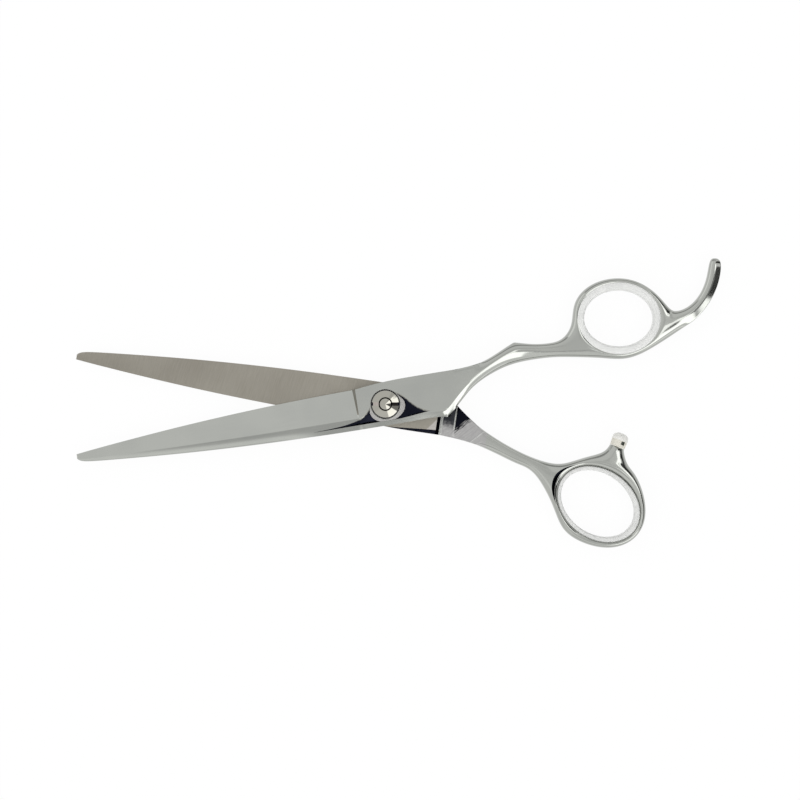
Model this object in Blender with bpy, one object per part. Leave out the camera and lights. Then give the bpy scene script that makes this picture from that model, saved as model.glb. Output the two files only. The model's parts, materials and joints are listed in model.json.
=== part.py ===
"""Hair cutting shears: two forged steel halves on an adjustable pivot, with soft ring inserts and a bumper.

Each half is one subdivision cage, drawn in the half's own frame: the pivot axis at the origin, the blade
along -X with its cutting edge on +Y, and +Z out of the shears, away from the other half. The finger half
stands in the world that way up. The thumb half is the same frame turned half a turn about X.
Units are metres. The world origin is on the pivot axis, at the back face of the bolt's head.
"""

import math

import bmesh
import bpy
from mathutils import Matrix, Vector

# Pose at rest
OPEN_ANGLE = 17.7  # degrees between the closed halves and the drawn pose
FINGER_TURN = 9.35  # the finger half's share of that angle

# Blades
BLADE_REACH = 0.0925  # pivot axis to tip
BLADE_GAP = 0.0003  # between the two inner faces
BLADE_THICKNESS = 0.0032  # at the ridge beside the pivot
TIP_THICKNESS = 0.0013
TIP_WIDTH = 0.0022
TIP_RISE = 0.0002  # of the cutting edge above the blade line, at the tip
EDGE_THICKNESS = 0.0003  # land behind the cutting edge
EDGE_HEIGHT = 0.00565  # cutting edge above the blade line, at the plunge
SPINE_DEPTH = 0.00628  # spine below the blade line, at the plunge
EDGE_BELLY = 0.0055  # pull of the curved cutting edge between plunge and tip
SPINE_BELLY = 0.0067
RIDGE_SHARE = 0.72  # ridge line, as a share of the width from the cutting edge
SPINE_SHARE = 0.80  # of the thickness that is left at the spine
HOLLOW = 0.00012  # hollow grind of the inner face
BLADE_STATIONS = (0.012, 0.09, 0.4, 0.75)  # shares of the length from tip to plunge
TIP_SPINE_SHARE = 0.55  # of the tip width that is left at its very end
SPINE_CREASE = 0.2  # sharpness of the spine's outer edge

# Ricasso, the flat round the pivot
PLUNGE = 0.0084  # from the pivot axis to the end of the ground blade
PLUNGE_STEP = 0.0006
RICASSO_HEIGHT = 0.00675  # upper side above the blade line
RICASSO_STATIONS = (0.22, 0.52, 0.85)  # shares of the way from plunge to ride end
RICASSO_RIDGE_SHARE = 0.88
RIDE_END = 0.0158  # where the flat inner face stops
HEEL = 0.0174  # corner where the shank leaves the ricasso
HEEL_DEPTH = 0.0067
RELIEF = 0.0008  # clearance step of the inner face behind the ride
RICASSO_SPINE_SHARE = 0.90
SCOOP_LINE = 0.0049  # straight lower side of the hollow ground round the pivot seat, below the blade line
SCOOP_RISE = 0.0082  # its height at the pivot
SCOOP_BLADE_LENGTH = 0.0051  # how fast it narrows towards the tip
SCOOP_BLADE_POWER = 2.8
SCOOP_HEEL_LENGTH = 0.0073
SCOOP_HEEL_POWER = 4.0
SCOOP_SLOPE = 0.36
SCOOP_DEPTH = 0.0013
SCOOP_WALL = 0.0004  # the face stands at its full height again this far below the hollow

# Handles
HANDLE_HALF = 0.0024  # half the thickness of shanks and rings
# Along the shank, from heel to ring: where the ridge lies between upper and lower side, how far the facet
# below it drops, and the inner side's share of the rise to full thickness
SHANK_RIDGE = ((0.0, 0.80), (0.2, 0.70), (0.35, 0.45), (0.65, 0.40), (0.95, 0.45))
SHANK_BEVEL = ((0.0, 0.0005), (0.2, 0.0005), (0.35, 0.00085), (0.55, 0.00095), (0.9, 0.0))
RAMP = ((0.10, 0.0), (0.21, 0.48), (0.32, 1.0))
RAMP_SLANT = 0.09  # how much sooner the upper side rises than the lower
FINGER_RAMP_DELAY = 0.10  # the finger half rises further along, clear of the thumb half when closed
RING_SEGMENTS = 12

# Finger ring, with the tang that the little finger rests on
FINGER_RING_X = 0.0721
FINGER_RING_Y = 0.0138
FINGER_BAND = 0.0022
FINGER_RING_TILT = -9.35
FINGER_NECK = (0.0006, 0.0)  # draws the ring in above the shank
FINGER_CROWN = (-0.0003, 0.0003)  # fills it out over the shank
FINGER_SOLE = (0.0, -0.0002)  # and below
TANG_WEB = (0.0012, 0.0008)  # fills the corner between tang and ring
FINGER_OPENING_LONG = 0.0102  # clear opening inside the insert
FINGER_OPENING_SHORT = 0.00825
FINGER_INSERT_LONG = 0.0012  # wall of the insert along the ring, and across it
FINGER_INSERT_SHORT = 0.00145

# Thumb ring, with the horn that carries the bumper
THUMB_RING_X = 0.0663
THUMB_RING_Y = 0.0200
THUMB_BAND = 0.0021
THUMB_RING_TILT = 27.2
THUMB_FIRST_ANGLE = -20.0  # turns the ring's segments to where shank and horn leave it
THUMB_NECK = (0.0012, -0.0006)  # draws the ring in below the shank
THUMB_HEEL_BAND = (-0.0007, 0.0006)  # and fills it out beside that
THUMB_FAR_BAND = (0.0003, 0.0)
HORN_WEB = (0.0017, -0.0009)  # fills the corner between horn and ring
THUMB_OPENING_LONG = 0.0117
THUMB_OPENING_SHORT = 0.0088
THUMB_INSERT_LONG = 0.0012
THUMB_INSERT_SHORT = 0.0011
THUMB_HOLE_SHIFT = 0.0003  # the metal hole lies this far behind the clear opening

# Shank stations: share of the way from heel to ring, upper side, lower side
FINGER_SHANK = (
    (0.09, 0.0067, -0.0039),
    (0.20, 0.0069, 0.0006),
    (0.32, 0.0076, 0.0031),
    (0.45, 0.0099, 0.0050),
    (0.56, 0.0120, 0.0058),
    (0.68, 0.0104, 0.0059),
    (0.81, 0.0098, 0.0057),
    (0.91, 0.0101, 0.0051),
)
FINGER_BUMP_STATION = 4  # the corner that the index finger leans on
THUMB_SHANK = (
    (0.10, 0.0070, -0.0029),
    (0.21, 0.0073, 0.0001),
    (0.35, 0.0082, 0.0032),
    (0.54, 0.0101, 0.0062),
    (0.70, 0.0120, 0.0082),
    (0.86, 0.0128, 0.0097),
)
# Tang stations: past the ring's far end, beside its centre line, width and half thickness
TANG = (
    (0.0042, -0.0033, 0.0052, 0.0024),
    (0.0082, -0.0020, 0.0040, 0.0023),
    (0.0125, 0.0014, 0.0035, 0.0021),
    (0.0157, 0.0063, 0.0036, 0.0020),
    (0.0172, 0.0112, 0.0036, 0.0019),
    (0.0175, 0.0130, 0.0021, 0.0013),
)
# Horn stations: beside the ring's centre line, past its near side, width and half thickness
HORN = (
    (0.0030, 0.0015, 0.0086, 0.0024),
    (0.00305, 0.0042, 0.0050, 0.0022),
    (0.00333, 0.0054, 0.0044, 0.0017),
)

# Pivot hardware
FIT = 0.00005  # running and seating clearance
ROUND_STEPS = 40
FACET_SHARE = 0.42  # of the subdivided forging's facets that are kept
BOLT_HEAD_RADIUS = 0.0047
BOLT_HEAD_THICKNESS = 0.0010
BOLT_HEAD_PROUD = 0.0004
BOLT_SQUARE = 0.0048  # side of the square shoulder that keeps the bolt from turning
BOLT_SQUARE_LENGTH = 0.0014
JOURNAL_RADIUS = 0.0021
THREAD_RADIUS = 0.0019
BUSH_WALL = 0.0006
WASHER_THICKNESS = 0.00035
SPRING_THICKNESS = 0.00025
SPRING_RISE = 0.0002
SPRING_INSET = 0.0003
NUT_RADIUS = 0.00445
NUT_THICKNESS = 0.0014
NUT_CROWN = 0.0007
NUT_PROUD = 0.0004
NUT_RUNNING_GAP = 0.00015
NUT_SLOT_WIDTH = 0.0011
NUT_SLOT_DEPTH = 0.0010
THREAD_PROUD = 0.0002  # bolt end above the nut
SEAT_WALL = 0.0005  # rim of the raised seat round the nut
SEAT_FLARE = 0.0009
SEAT_FOOT = 0.0002  # how far the seat stands below the hollow
SEAT_PROUD = 0.0001
GLIDE_RADIUS = 0.0055
GLIDE_THICKNESS = 0.0007
GLIDE_RECESS = 0.0005

# Bumper and inserts
BUMPER_HEIGHT = 0.0045
BUMPER_RADIUS = 0.00235
BUMPER_FOOT_RADIUS = 0.0021
STUD_RADIUS = 0.0009
STUD_LENGTH = 0.0054
STUD_IN_BUMPER = 0.0026
FINGER_LIP_SHARE = 0.75  # how far the insert's lips reach over the ring's half band
THUMB_LIP_SHARE = 0.48
INSERT_PROUD = 0.0002
INSERT_BITE = 0.00012  # depth of the seat cut in the metal ring
INSERT_SEAT_STEPS = 3
INSERT_STEPS = 36

# Worked out from the above
INNER = BLADE_GAP / 2
OUTER = INNER + BLADE_THICKNESS
MID_PLANE = BOLT_HEAD_PROUD + OUTER
FINGER_HOLE_LONG = FINGER_OPENING_LONG + FINGER_INSERT_LONG
FINGER_HOLE_SHORT = FINGER_OPENING_SHORT + FINGER_INSERT_SHORT
THUMB_HOLE_LONG = THUMB_OPENING_LONG + THUMB_INSERT_LONG
THUMB_HOLE_SHORT = THUMB_OPENING_SHORT + THUMB_INSERT_SHORT
NUT_RECESS_RADIUS = NUT_RADIUS + NUT_RUNNING_GAP
STACK = WASHER_THICKNESS + SPRING_THICKNESS + SPRING_RISE + 3 * FIT
NUT_RECESS_FLOOR = OUTER + NUT_PROUD - NUT_THICKNESS - STACK
BUSH_RADIUS = JOURNAL_RADIUS + FIT + BUSH_WALL
SECTION_GAIN = 1 / 0.958  # a six-point section rounds off to this share of its width
RING_GAIN = 1 / 0.9167  # and a four-point section to this one

STEEL = ("polished_steel", (0.62, 0.63, 0.61), 0.16, 1.0)
TURNED_STEEL = ("turned_steel", (0.66, 0.65, 0.60), 0.22, 1.0)
SPRING_STEEL = ("spring_steel", (0.35, 0.35, 0.36), 0.35, 1.0)
BRONZE = ("bearing_bronze", (0.55, 0.38, 0.20), 0.35, 1.0)
NYLON = ("nylon", (0.85, 0.84, 0.80), 0.45, 0.0)
SILICONE = ("clear_silicone", (0.80, 0.81, 0.80), 0.30, 0.0)
CLEAR_PLASTIC = ("clear_plastic", (0.86, 0.86, 0.80), 0.15, 0.0)


def material(name, colour, roughness, metallic):
    made = bpy.data.materials.get(name) or bpy.data.materials.new(name)
    made.use_nodes = True
    shader = made.node_tree.nodes["Principled BSDF"]
    shader.inputs["Base Color"].default_value = (*colour, 1.0)
    shader.inputs["Roughness"].default_value = roughness
    shader.inputs["Metallic"].default_value = metallic
    return made


def add_object(name, mesh, finish, parent, smooth_angle=35.0):
    made = bpy.data.objects.new(name, mesh)
    bpy.context.scene.collection.objects.link(made)
    made.parent = parent
    mesh.materials.clear()
    mesh.materials.append(material(*finish))
    mesh.shade_smooth()
    mesh.set_sharp_from_angle(angle=math.radians(smooth_angle))
    return made


def lerp(a, b, share):
    return a + (b - a) * share


def smoothstep(low, high, value):
    t = min(1.0, max(0.0, (value - low) / (high - low)))
    return t * t * (3 - 2 * t)


def curve_point(start, pull, end, t):
    """A point of the quadratic curve from start to end, drawn towards pull."""
    return (1 - t) ** 2 * start + 2 * t * (1 - t) * pull + t * t * end


class Cage:
    """Points and quads of a subdivision cage, with a crease on chosen edges."""

    def __init__(self):
        self.points = []
        self.faces = []
        self.creases = {}

    def loop(self, points):
        first = len(self.points)
        self.points.extend(Vector(p) for p in points)
        return list(range(first, len(self.points)))

    def bridge(self, a, b):
        """Quads between two closed loops of the same length."""
        count = len(a)
        for k in range(count):
            following = (k + 1) % count
            self.faces.append((a[k], a[following], b[following], b[k]))

    def crease(self, a, b, weight):
        self.creases[frozenset((a, b))] = weight

    def crease_loop(self, loop, weight):
        for k, a in enumerate(loop):
            self.crease(a, loop[(k + 1) % len(loop)], weight)

    def mesh(self, name, levels):
        """The cage subdivided, as a plain mesh with its faces pointing out."""
        bm = bmesh.new()
        verts = [bm.verts.new(p) for p in self.points]
        for face in self.faces:
            bm.faces.new([verts[i] for i in face])
        bm.verts.index_update()
        layer = bm.edges.layers.float.new("crease_edge")
        for edge in bm.edges:
            edge[layer] = self.creases.get(frozenset(v.index for v in edge.verts), 0.0)
        bmesh.ops.recalc_face_normals(bm, faces=bm.faces)
        return subdivided(name, bm, levels)


def subdivided(name, bm, levels):
    bm.verts.index_update()
    mesh = bpy.data.meshes.new(name)
    bm.to_mesh(mesh)
    bm.free()
    holder = bpy.data.objects.new(name + "_cage", mesh)
    bpy.context.scene.collection.objects.link(holder)
    modifier = holder.modifiers.new("subdivision", "SUBSURF")
    modifier.levels = levels
    modifier.render_levels = levels
    graph = bpy.context.evaluated_depsgraph_get()
    made = bpy.data.meshes.new_from_object(holder.evaluated_get(graph))
    made.name = name
    bpy.data.objects.remove(holder)
    bpy.data.meshes.remove(mesh)
    return made


def section(x_upper, upper, x_lower, lower, ridge_share, inner, outer):
    """Six points round a half's body, from the cutting edge's inner side over the outer face.

    inner gives the heights at the upper side, middle and lower side, outer at the upper side, ridge and
    lower side.
    """
    ridge = (lerp(x_upper, x_lower, ridge_share), lerp(upper, lower, ridge_share))
    middle = (lerp(x_upper, x_lower, 0.5), lerp(upper, lower, 0.5))
    return (
        (x_upper, upper, inner[0]),
        (x_upper, upper, outer[0]),
        (*ridge, outer[1]),
        (x_lower, lower, outer[2]),
        (x_lower, lower, inner[2]),
        (*middle, inner[1]),
    )


def blade_section(share):
    """share runs from 0 at the tip to 1 at the plunge."""
    t = 1 - share
    x = lerp(-PLUNGE, -BLADE_REACH, t)
    upper = curve_point(EDGE_HEIGHT, EDGE_BELLY, TIP_RISE, t)
    lower = curve_point(-SPINE_DEPTH, -SPINE_BELLY, -TIP_WIDTH, t)
    if share == 0:
        lower = -TIP_WIDTH * TIP_SPINE_SHARE
    thickness = lerp(TIP_THICKNESS, BLADE_THICKNESS, share)
    outer = (INNER + EDGE_THICKNESS, INNER + thickness, INNER + thickness * SPINE_SHARE)
    return section(x, upper, x, lower, RIDGE_SHARE, (INNER, INNER + HOLLOW, INNER), outer)


def ricasso_section(x, upper, lower, inner, ridge_share=RICASSO_RIDGE_SHARE):
    outer = (OUTER, OUTER, INNER + BLADE_THICKNESS * RICASSO_SPINE_SHARE)
    return section(x, upper, x, lower, ridge_share, (inner, inner, inner), outer)


def along(steps, share):
    """The value at a share of the shank, drawn straight between the steps."""
    for (a, low), (b, high) in zip(steps, steps[1:]):
        if share <= b:
            return lerp(low, high, max(0.0, (share - a) / (b - a)))
    return steps[-1][1]


def ring_point(centre, long, short, tilt, angle):
    """A point of a tilted ellipse, at an angle measured in the half's own frame."""
    turn = math.radians(tilt)
    a = math.radians(angle) - turn
    x, y = long * math.cos(a), short * math.sin(a)
    return (
        centre[0] + x * math.cos(turn) - y * math.sin(turn),
        centre[1] + x * math.sin(turn) + y * math.cos(turn),
    )


def ring_loops(cage, centre, hole, band, tilt, first_angle=0.0, moved=None, shift=0.0):
    """One four-point loop for each ring segment: inner and outer points of the outer face, then of the inner.

    moved shifts the outer points of chosen segments, where a growth leaves the ring, and shift the whole hole.
    """
    hole_centre = (centre[0] + shift, centre[1])
    knot = (4 + 2 * math.cos(2 * math.pi / RING_SEGMENTS)) / 6  # how far a knot draws in
    middle = (hole[0] + band / 2, hole[1] + band / 2)
    half = band / 2 * RING_GAIN
    height = HANDLE_HALF * RING_GAIN
    loops = []
    for k in range(RING_SEGMENTS):
        angle = first_angle + 360 * k / RING_SEGMENTS
        inside = ring_point(hole_centre, (middle[0] - half) / knot, (middle[1] - half) / knot, tilt, angle)
        outside = ring_point(centre, (middle[0] + half) / knot, (middle[1] + half) / knot, tilt, angle)
        off = (moved or {}).get(k, (0.0, 0.0))
        outside = (outside[0] + off[0], outside[1] + off[1])
        loops.append(
            cage.loop(
                ((*inside, height), (*outside, height), (*outside, -height), (*inside, -height))
            )
        )
    return loops


def close_ring(cage, loops, open_segments):
    """Quads of the ring, leaving out the outer faces where a shank, tang or horn grows."""
    count = len(loops)
    for k in range(count):
        a, b = loops[k], loops[(k + 1) % count]
        for side in range(4):
            if side == 1 and k in open_segments:
                continue
            following = (side + 1) % 4
            cage.faces.append((a[side], a[following], b[following], b[side]))


def ring_root(loops, first, count):
    """The loop round an open run of outer faces, in a section's order."""
    run = [loops[(first + k) % len(loops)] for k in range(count + 1)]
    return [run[0][2]] + [r[1] for r in run] + [r[2] for r in reversed(run[1:])]


def tang_stations():
    far = FINGER_RING_X + FINGER_HOLE_LONG + FINGER_BAND
    return [(far + x, FINGER_RING_Y + y, width, half) for x, y, width, half in TANG]


def horn_stations():
    near = THUMB_RING_Y - THUMB_HOLE_SHORT - THUMB_BAND
    return [(THUMB_RING_X + x, near - y, width, half) for x, y, width, half in HORN]


def grow(cage, root, stations):
    """A horn grown from a ring: six-point sections along the stations, closed by an end cap."""
    places = [Vector((x, y)) for x, y, _, _ in stations]
    previous = root
    start = sum((cage.points[i].to_2d() for i in root), Vector((0, 0))) / len(root)
    for k, (_, _, width, half) in enumerate(stations):
        before = places[k - 1] if k else start
        after = places[min(k + 1, len(places) - 1)]
        along = (after - before).normalized()
        across = Vector((-along.y, along.x)) * width / 2 * SECTION_GAIN
        upper, lower = places[k] + across, places[k] - across
        points = section(*upper, *lower, 0.5, (-half,) * 3, (half,) * 3)
        loop = cage.loop(points)
        cage.bridge(previous, loop)
        previous = loop
    e_in, e_out, ridge, s_out, s_in, m_in = previous
    cage.faces.extend(((e_in, e_out, ridge, m_in), (m_in, ridge, s_out, s_in)))
    return previous


def half_cage(ring_left, shank, bump=None, delay=0.0):
    """The cage of blade, ricasso and shank, ending in an open section beside the ring."""
    cage = Cage()
    sections = [blade_section(0.0)]
    sections += [blade_section(share) for share in BLADE_STATIONS]
    sections.append(blade_section(1.0))
    plunge_end = len(sections)
    step = -PLUNGE + PLUNGE_STEP
    sections.append(ricasso_section(step, EDGE_HEIGHT, -SPINE_DEPTH, INNER, ridge_share=RIDGE_SHARE))
    near, over, past = (lerp(step, RIDE_END, share) for share in RICASSO_STATIONS)
    blend = lerp(RIDGE_SHARE, RICASSO_RIDGE_SHARE, 0.6)
    sections.append(ricasso_section(near, RICASSO_HEIGHT * 0.94, -SPINE_DEPTH, INNER, ridge_share=blend))
    sections.append(ricasso_section(over, RICASSO_HEIGHT, -SPINE_DEPTH, INNER))
    sections.append(ricasso_section(past, RICASSO_HEIGHT, -SPINE_DEPTH * 0.97, INNER))
    ride_end = len(sections)
    sections.append(ricasso_section(RIDE_END, RICASSO_HEIGHT, -SPINE_DEPTH, INNER))
    sections.append(ricasso_section(HEEL, RICASSO_HEIGHT, -HEEL_DEPTH, INNER + RELIEF))
    first_shank = len(sections)
    for k, (share, upper, lower) in enumerate(shank):
        x = lerp(HEEL, ring_left, share)
        rounding = smoothstep(0.1, 0.6, share)
        gain = lerp(1.0, SECTION_GAIN, rounding)
        middle, reach = (upper + lower) / 2, (upper - lower) / 2 * gain
        slants = (RAMP_SLANT, RAMP_SLANT / 2, 0.0)
        inner = [lerp(INNER + RELIEF, -HANDLE_HALF, along(RAMP, share - delay + slant)) for slant in slants]
        top = lerp(OUTER, HANDLE_HALF, smoothstep(0.0, 0.7, share))
        bevel = top - along(SHANK_BEVEL, share)
        ridge_share = along(SHANK_RIDGE, share)
        sections.append(
            section(x, middle + reach, x, middle - reach, ridge_share, inner, (top, top, bevel))
        )
    loops = [cage.loop(points) for points in sections]
    for a, b in zip(loops, loops[1:]):
        cage.bridge(a, b)
    tip = loops[0]
    cage.faces.extend(((tip[0], tip[1], tip[2], tip[5]), (tip[5], tip[2], tip[3], tip[4])))
    crease_body(cage, loops, plunge_end, ride_end, first_shank)
    if bump is not None:
        cage.crease(loops[first_shank + bump][0], loops[first_shank + bump][1], 0.85)
    return cage, loops[-1]


def crease_body(cage, loops, plunge_end, ride_end, first_shank):
    """Sharp lines along the blade and ricasso that fade out up the shank, and sharp steps across it."""
    cage.crease_loop(loops[0], 0.9)
    for k, (a, b) in enumerate(zip(loops, loops[1:])):
        fade = 1 - smoothstep(0, 4, k - first_shank + 1)
        for line in range(5):
            cage.crease(a[line], b[line], fade)
        cage.crease(a[2], b[2], 1 - smoothstep(1, 7, k - first_shank + 1))
        if k < plunge_end - 2:
            cage.crease(a[3], b[3], SPINE_CREASE)
    for k in (plunge_end - 1, plunge_end):
        cage.crease(loops[k][1], loops[k][2], 1.0)
        cage.crease(loops[k][0], loops[k][1], 1.0)
    for k in (ride_end, ride_end + 1, first_shank):
        for a, b in ((4, 5), (5, 0)):
            cage.crease(loops[k][a], loops[k][b], 1.0)
    heel = loops[ride_end + 1]
    cage.crease(heel[3], heel[4], 1.0)


def scoop_drop(x, y):
    """Depth of the hollow round the pivot seat: a slope below a bell-shaped line, ending at a straight one."""
    if x < 0:
        length, power = SCOOP_BLADE_LENGTH, SCOOP_BLADE_POWER
    else:
        length, power = SCOOP_HEEL_LENGTH, SCOOP_HEEL_POWER
    top = SCOOP_RISE / (1 + (abs(x) / length) ** power) - SCOOP_LINE
    below = top - max(y, -SCOOP_LINE)
    if below <= 0 or y < -SCOOP_LINE - SCOOP_WALL:
        return 0.0
    return SCOOP_DEPTH * math.tanh(SCOOP_SLOPE * below / SCOOP_DEPTH)


def grind_scoop(mesh):
    """Lowers the outer face beside the pivot seat, towards the spine."""
    for vertex in mesh.vertices:
        x, y, z = vertex.co
        if z > INNER + BLADE_THICKNESS / 2 and -BLADE_REACH / 2 < x < HEEL:
            vertex.co.z = z - scoop_drop(x, y)


def turned(name, profile, steps=ROUND_STEPS):
    """A solid of revolution about Z from (radius, height) points, going round the outline once."""
    bm = bmesh.new()
    rings = []
    for radius, height in profile:
        if radius == 0:
            rings.append([bm.verts.new((0, 0, height))])
            continue
        angles = (2 * math.pi * k / steps for k in range(steps))
        rings.append([bm.verts.new((radius * math.cos(a), radius * math.sin(a), height)) for a in angles])
    closed = all(len(r) > 1 for r in rings)
    pairs = list(zip(rings, rings[1:])) + ([(rings[-1], rings[0])] if closed else [])
    for a, b in pairs:
        for k in range(steps):
            corners = (a[k % len(a)], a[(k + 1) % len(a)], b[(k + 1) % len(b)], b[k % len(b)])
            bm.faces.new(list(dict.fromkeys(corners)))
    bmesh.ops.recalc_face_normals(bm, faces=bm.faces)
    mesh = bpy.data.meshes.new(name)
    bm.to_mesh(mesh)
    bm.free()
    return mesh


def rod(name, radius, low, high):
    return turned(name, ((0, low), (radius, low), (radius, high), (0, high)))


def box(name, size):
    bm = bmesh.new()
    bmesh.ops.create_cube(bm, size=1.0, matrix=Matrix.Diagonal((*size, 1.0)))
    mesh = bpy.data.meshes.new(name)
    bm.to_mesh(mesh)
    bm.free()
    return mesh


def cutter(name, mesh, parent, location=(0, 0, 0), rotation=None):
    made = bpy.data.objects.new(name, mesh)
    bpy.context.scene.collection.objects.link(made)
    made.parent = parent
    made.location = location
    if rotation:
        made.rotation_mode = "QUATERNION"
        made.rotation_quaternion = rotation
    made.hide_render = True
    made.display_type = "WIRE"
    return made


def boolean(target, operation, other, solver="EXACT"):
    modifier = target.modifiers.new(f"{operation.lower()} {other.name}", "BOOLEAN")
    modifier.operation = operation
    modifier.solver = solver
    modifier.object = other


def forging_cut(blade, operation, other):
    """Booleans on a forging: the exact solver leaves its keyway open, so they use the manifold one."""
    boolean(blade, operation, other, "MANIFOLD")


def empty(name, location, rotation=(0, 0, 0)):
    made = bpy.data.objects.new(name, None)
    bpy.context.scene.collection.objects.link(made)
    made.location = location
    made.rotation_euler = rotation
    return made


def seat_and_bores(blade, half, recess_radius, recess_floor, bore_radius):
    """A raised seat on the outer face, with its recess, and a round bore through the blade."""
    rim = recess_radius + SEAT_WALL
    base = OUTER - SCOOP_DEPTH - SEAT_FOOT
    top = OUTER + SEAT_PROUD
    profile = ((0, base), (rim + SEAT_FLARE, base), (rim, top), (0, top))
    forging_cut(blade, "UNION", cutter(blade.name + "_seat", turned("seat", profile), half))
    recess = rod("recess", recess_radius, recess_floor, OUTER + BLADE_THICKNESS)
    forging_cut(blade, "DIFFERENCE", cutter(blade.name + "_recess", recess, half))
    bore = rod("bore", bore_radius, -BLADE_THICKNESS, OUTER)
    forging_cut(blade, "DIFFERENCE", cutter(blade.name + "_bore", bore, half))


def thin_out(blade):
    modifier = blade.modifiers.new("fewer facets", "DECIMATE")
    modifier.ratio = FACET_SHARE


def build_finger_blade(half):
    centre = (FINGER_RING_X, FINGER_RING_Y)
    left = FINGER_RING_X - FINGER_HOLE_LONG - FINGER_BAND
    cage, end = half_cage(left, FINGER_SHANK, FINGER_BUMP_STATION, FINGER_RAMP_DELAY)
    hole = (FINGER_HOLE_LONG, FINGER_HOLE_SHORT)
    moved = {0: TANG_WEB, 4: FINGER_CROWN, 5: FINGER_CROWN, 6: FINGER_NECK, 9: FINGER_SOLE}
    ring = ring_loops(cage, centre, hole, FINGER_BAND, FINGER_RING_TILT, moved=moved)
    close_ring(cage, ring, (6, 7, 10, 11))
    cage.bridge(end, ring_root(ring, 6, 2))
    grow(cage, reversed_root(ring_root(ring, 10, 2)), tang_stations())
    mesh = cage.mesh("finger_blade", 2)
    grind_scoop(mesh)
    blade = add_object("finger_blade", mesh, STEEL, half)
    thin_out(blade)
    seat_and_bores(blade, half, NUT_RECESS_RADIUS, NUT_RECESS_FLOOR, BUSH_RADIUS + FIT)
    opening = (FINGER_OPENING_LONG, FINGER_OPENING_SHORT)
    place = (centre, 0.0, FINGER_RING_TILT)
    build_insert("finger_insert", blade, half, place, opening, hole, FINGER_BAND, FINGER_LIP_SHARE)


def build_thumb_blade(half):
    centre = (THUMB_RING_X, THUMB_RING_Y)
    left = THUMB_RING_X - THUMB_HOLE_LONG - THUMB_BAND
    cage, end = half_cage(left, THUMB_SHANK)
    hole = (THUMB_HOLE_LONG, THUMB_HOLE_SHORT)
    moved = {0: THUMB_FAR_BAND, 5: THUMB_HEEL_BAND, 6: THUMB_NECK, 11: HORN_WEB}
    ring = ring_loops(cage, centre, hole, THUMB_BAND, THUMB_RING_TILT, THUMB_FIRST_ANGLE, moved, THUMB_HOLE_SHIFT)
    close_ring(cage, ring, (6, 7, 9, 10))
    cage.bridge(end, ring_root(ring, 6, 2))
    horn_end = grow(cage, reversed_root(ring_root(ring, 9, 2)), horn_stations())
    cage.crease_loop(horn_end, 1.0)
    mesh = cage.mesh("thumb_blade", 2)
    grind_scoop(mesh)
    blade = add_object("thumb_blade", mesh, STEEL, half)
    thin_out(blade)
    head_floor = MID_PLANE - BOLT_HEAD_THICKNESS - FIT
    seat_and_bores(blade, half, BOLT_HEAD_RADIUS + NUT_RUNNING_GAP, head_floor, JOURNAL_RADIUS + FIT)
    side = BOLT_SQUARE + 2 * FIT
    depth = BOLT_SQUARE_LENGTH + 2 * FIT
    keyway = box("keyway", (side, side, 2 * depth))
    forging_cut(blade, "DIFFERENCE", cutter("thumb_blade_keyway", keyway, half, (0, 0, head_floor)))
    glide = rod("glide recess", GLIDE_RADIUS + FIT, -BLADE_THICKNESS, INNER + GLIDE_RECESS)
    forging_cut(blade, "DIFFERENCE", cutter("thumb_blade_glide", glide, half))
    bore = rod("stud bore", STUD_RADIUS + FIT, -(STUD_LENGTH - STUD_IN_BUMPER), STUD_IN_BUMPER)
    forging_cut(blade, "DIFFERENCE", cutter("thumb_blade_stud", bore, half, *horn_place()))
    opening = (THUMB_OPENING_LONG, THUMB_OPENING_SHORT)
    place = (centre, THUMB_HOLE_SHIFT, THUMB_RING_TILT)
    build_insert("thumb_insert", blade, half, place, opening, hole, THUMB_BAND, THUMB_LIP_SHARE)


def horn_place():
    """The middle of the horn's flat end, and the turn that points Z out of it."""
    before, end = (Vector((x, y, 0)) for x, y, _, _ in horn_stations()[-2:])
    return end, (end - before).to_track_quat("Z", "Y")


def reversed_root(root):
    """The same loop seen from the ring's side, so that its upper point is on the left of the growth."""
    e_in, e_out, ridge, s_out, s_in, m_in = root
    return [s_in, s_out, ridge, e_out, e_in, m_in]


def seat_line(band, lip_share, clearance):
    """The seat between a metal ring and its insert, from the upper lip's edge down to the middle of the ring."""
    crest = band / 2
    points = []
    for k in range(INSERT_SEAT_STEPS + 1):
        out = crest * lip_share * (1 - k / INSERT_SEAT_STEPS)
        steep = 1 - out / crest
        height = (HANDLE_HALF - INSERT_BITE) * math.sqrt(1 - steep * steep)
        points.append((1.0, out + (INSERT_BITE - clearance) * steep, height + clearance * (1 - steep)))
    return points


def both_sides(points):
    """Adds the mirror image of a profile's upper half."""
    return points + [(share, out, -height) for share, out, height in reversed(points) if height > 0]


def build_insert(name, blade, half, place, opening, hole, band, lip_share):
    """A soft ring that snaps into a finger hole: its lips hold the metal ring from both faces."""
    lip = band / 2 * lip_share
    top = HANDLE_HALF + INSERT_PROUD
    outline = [
        (0.0, 0.0, top * 0.45),
        (0.12, 0.0, top * 0.78),
        (0.5, 0.0, top * 0.97),
        (1.0, 0.0, top),
        (1.0, lip * 0.8, top - INSERT_PROUD * 0.4),
    ]
    outline += seat_line(band, lip_share, FIT)
    mesh = swept_ring(name, place, opening, hole, both_sides(outline), INSERT_STEPS)
    add_object(name, mesh, SILICONE, half, 50.0)
    over = 2 * HANDLE_HALF
    seat = [(0.0, 0.0, over), (1.0, lip + 2 * FIT, over)] + seat_line(band, lip_share, 0.0)
    seat[2] = (1.0, lip + 2 * FIT, seat[2][2])
    mesh = swept_ring(name + " seat", place, opening, hole, both_sides(seat), INSERT_STEPS)
    forging_cut(blade, "DIFFERENCE", cutter(name + "_seat", mesh, half))


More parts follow.
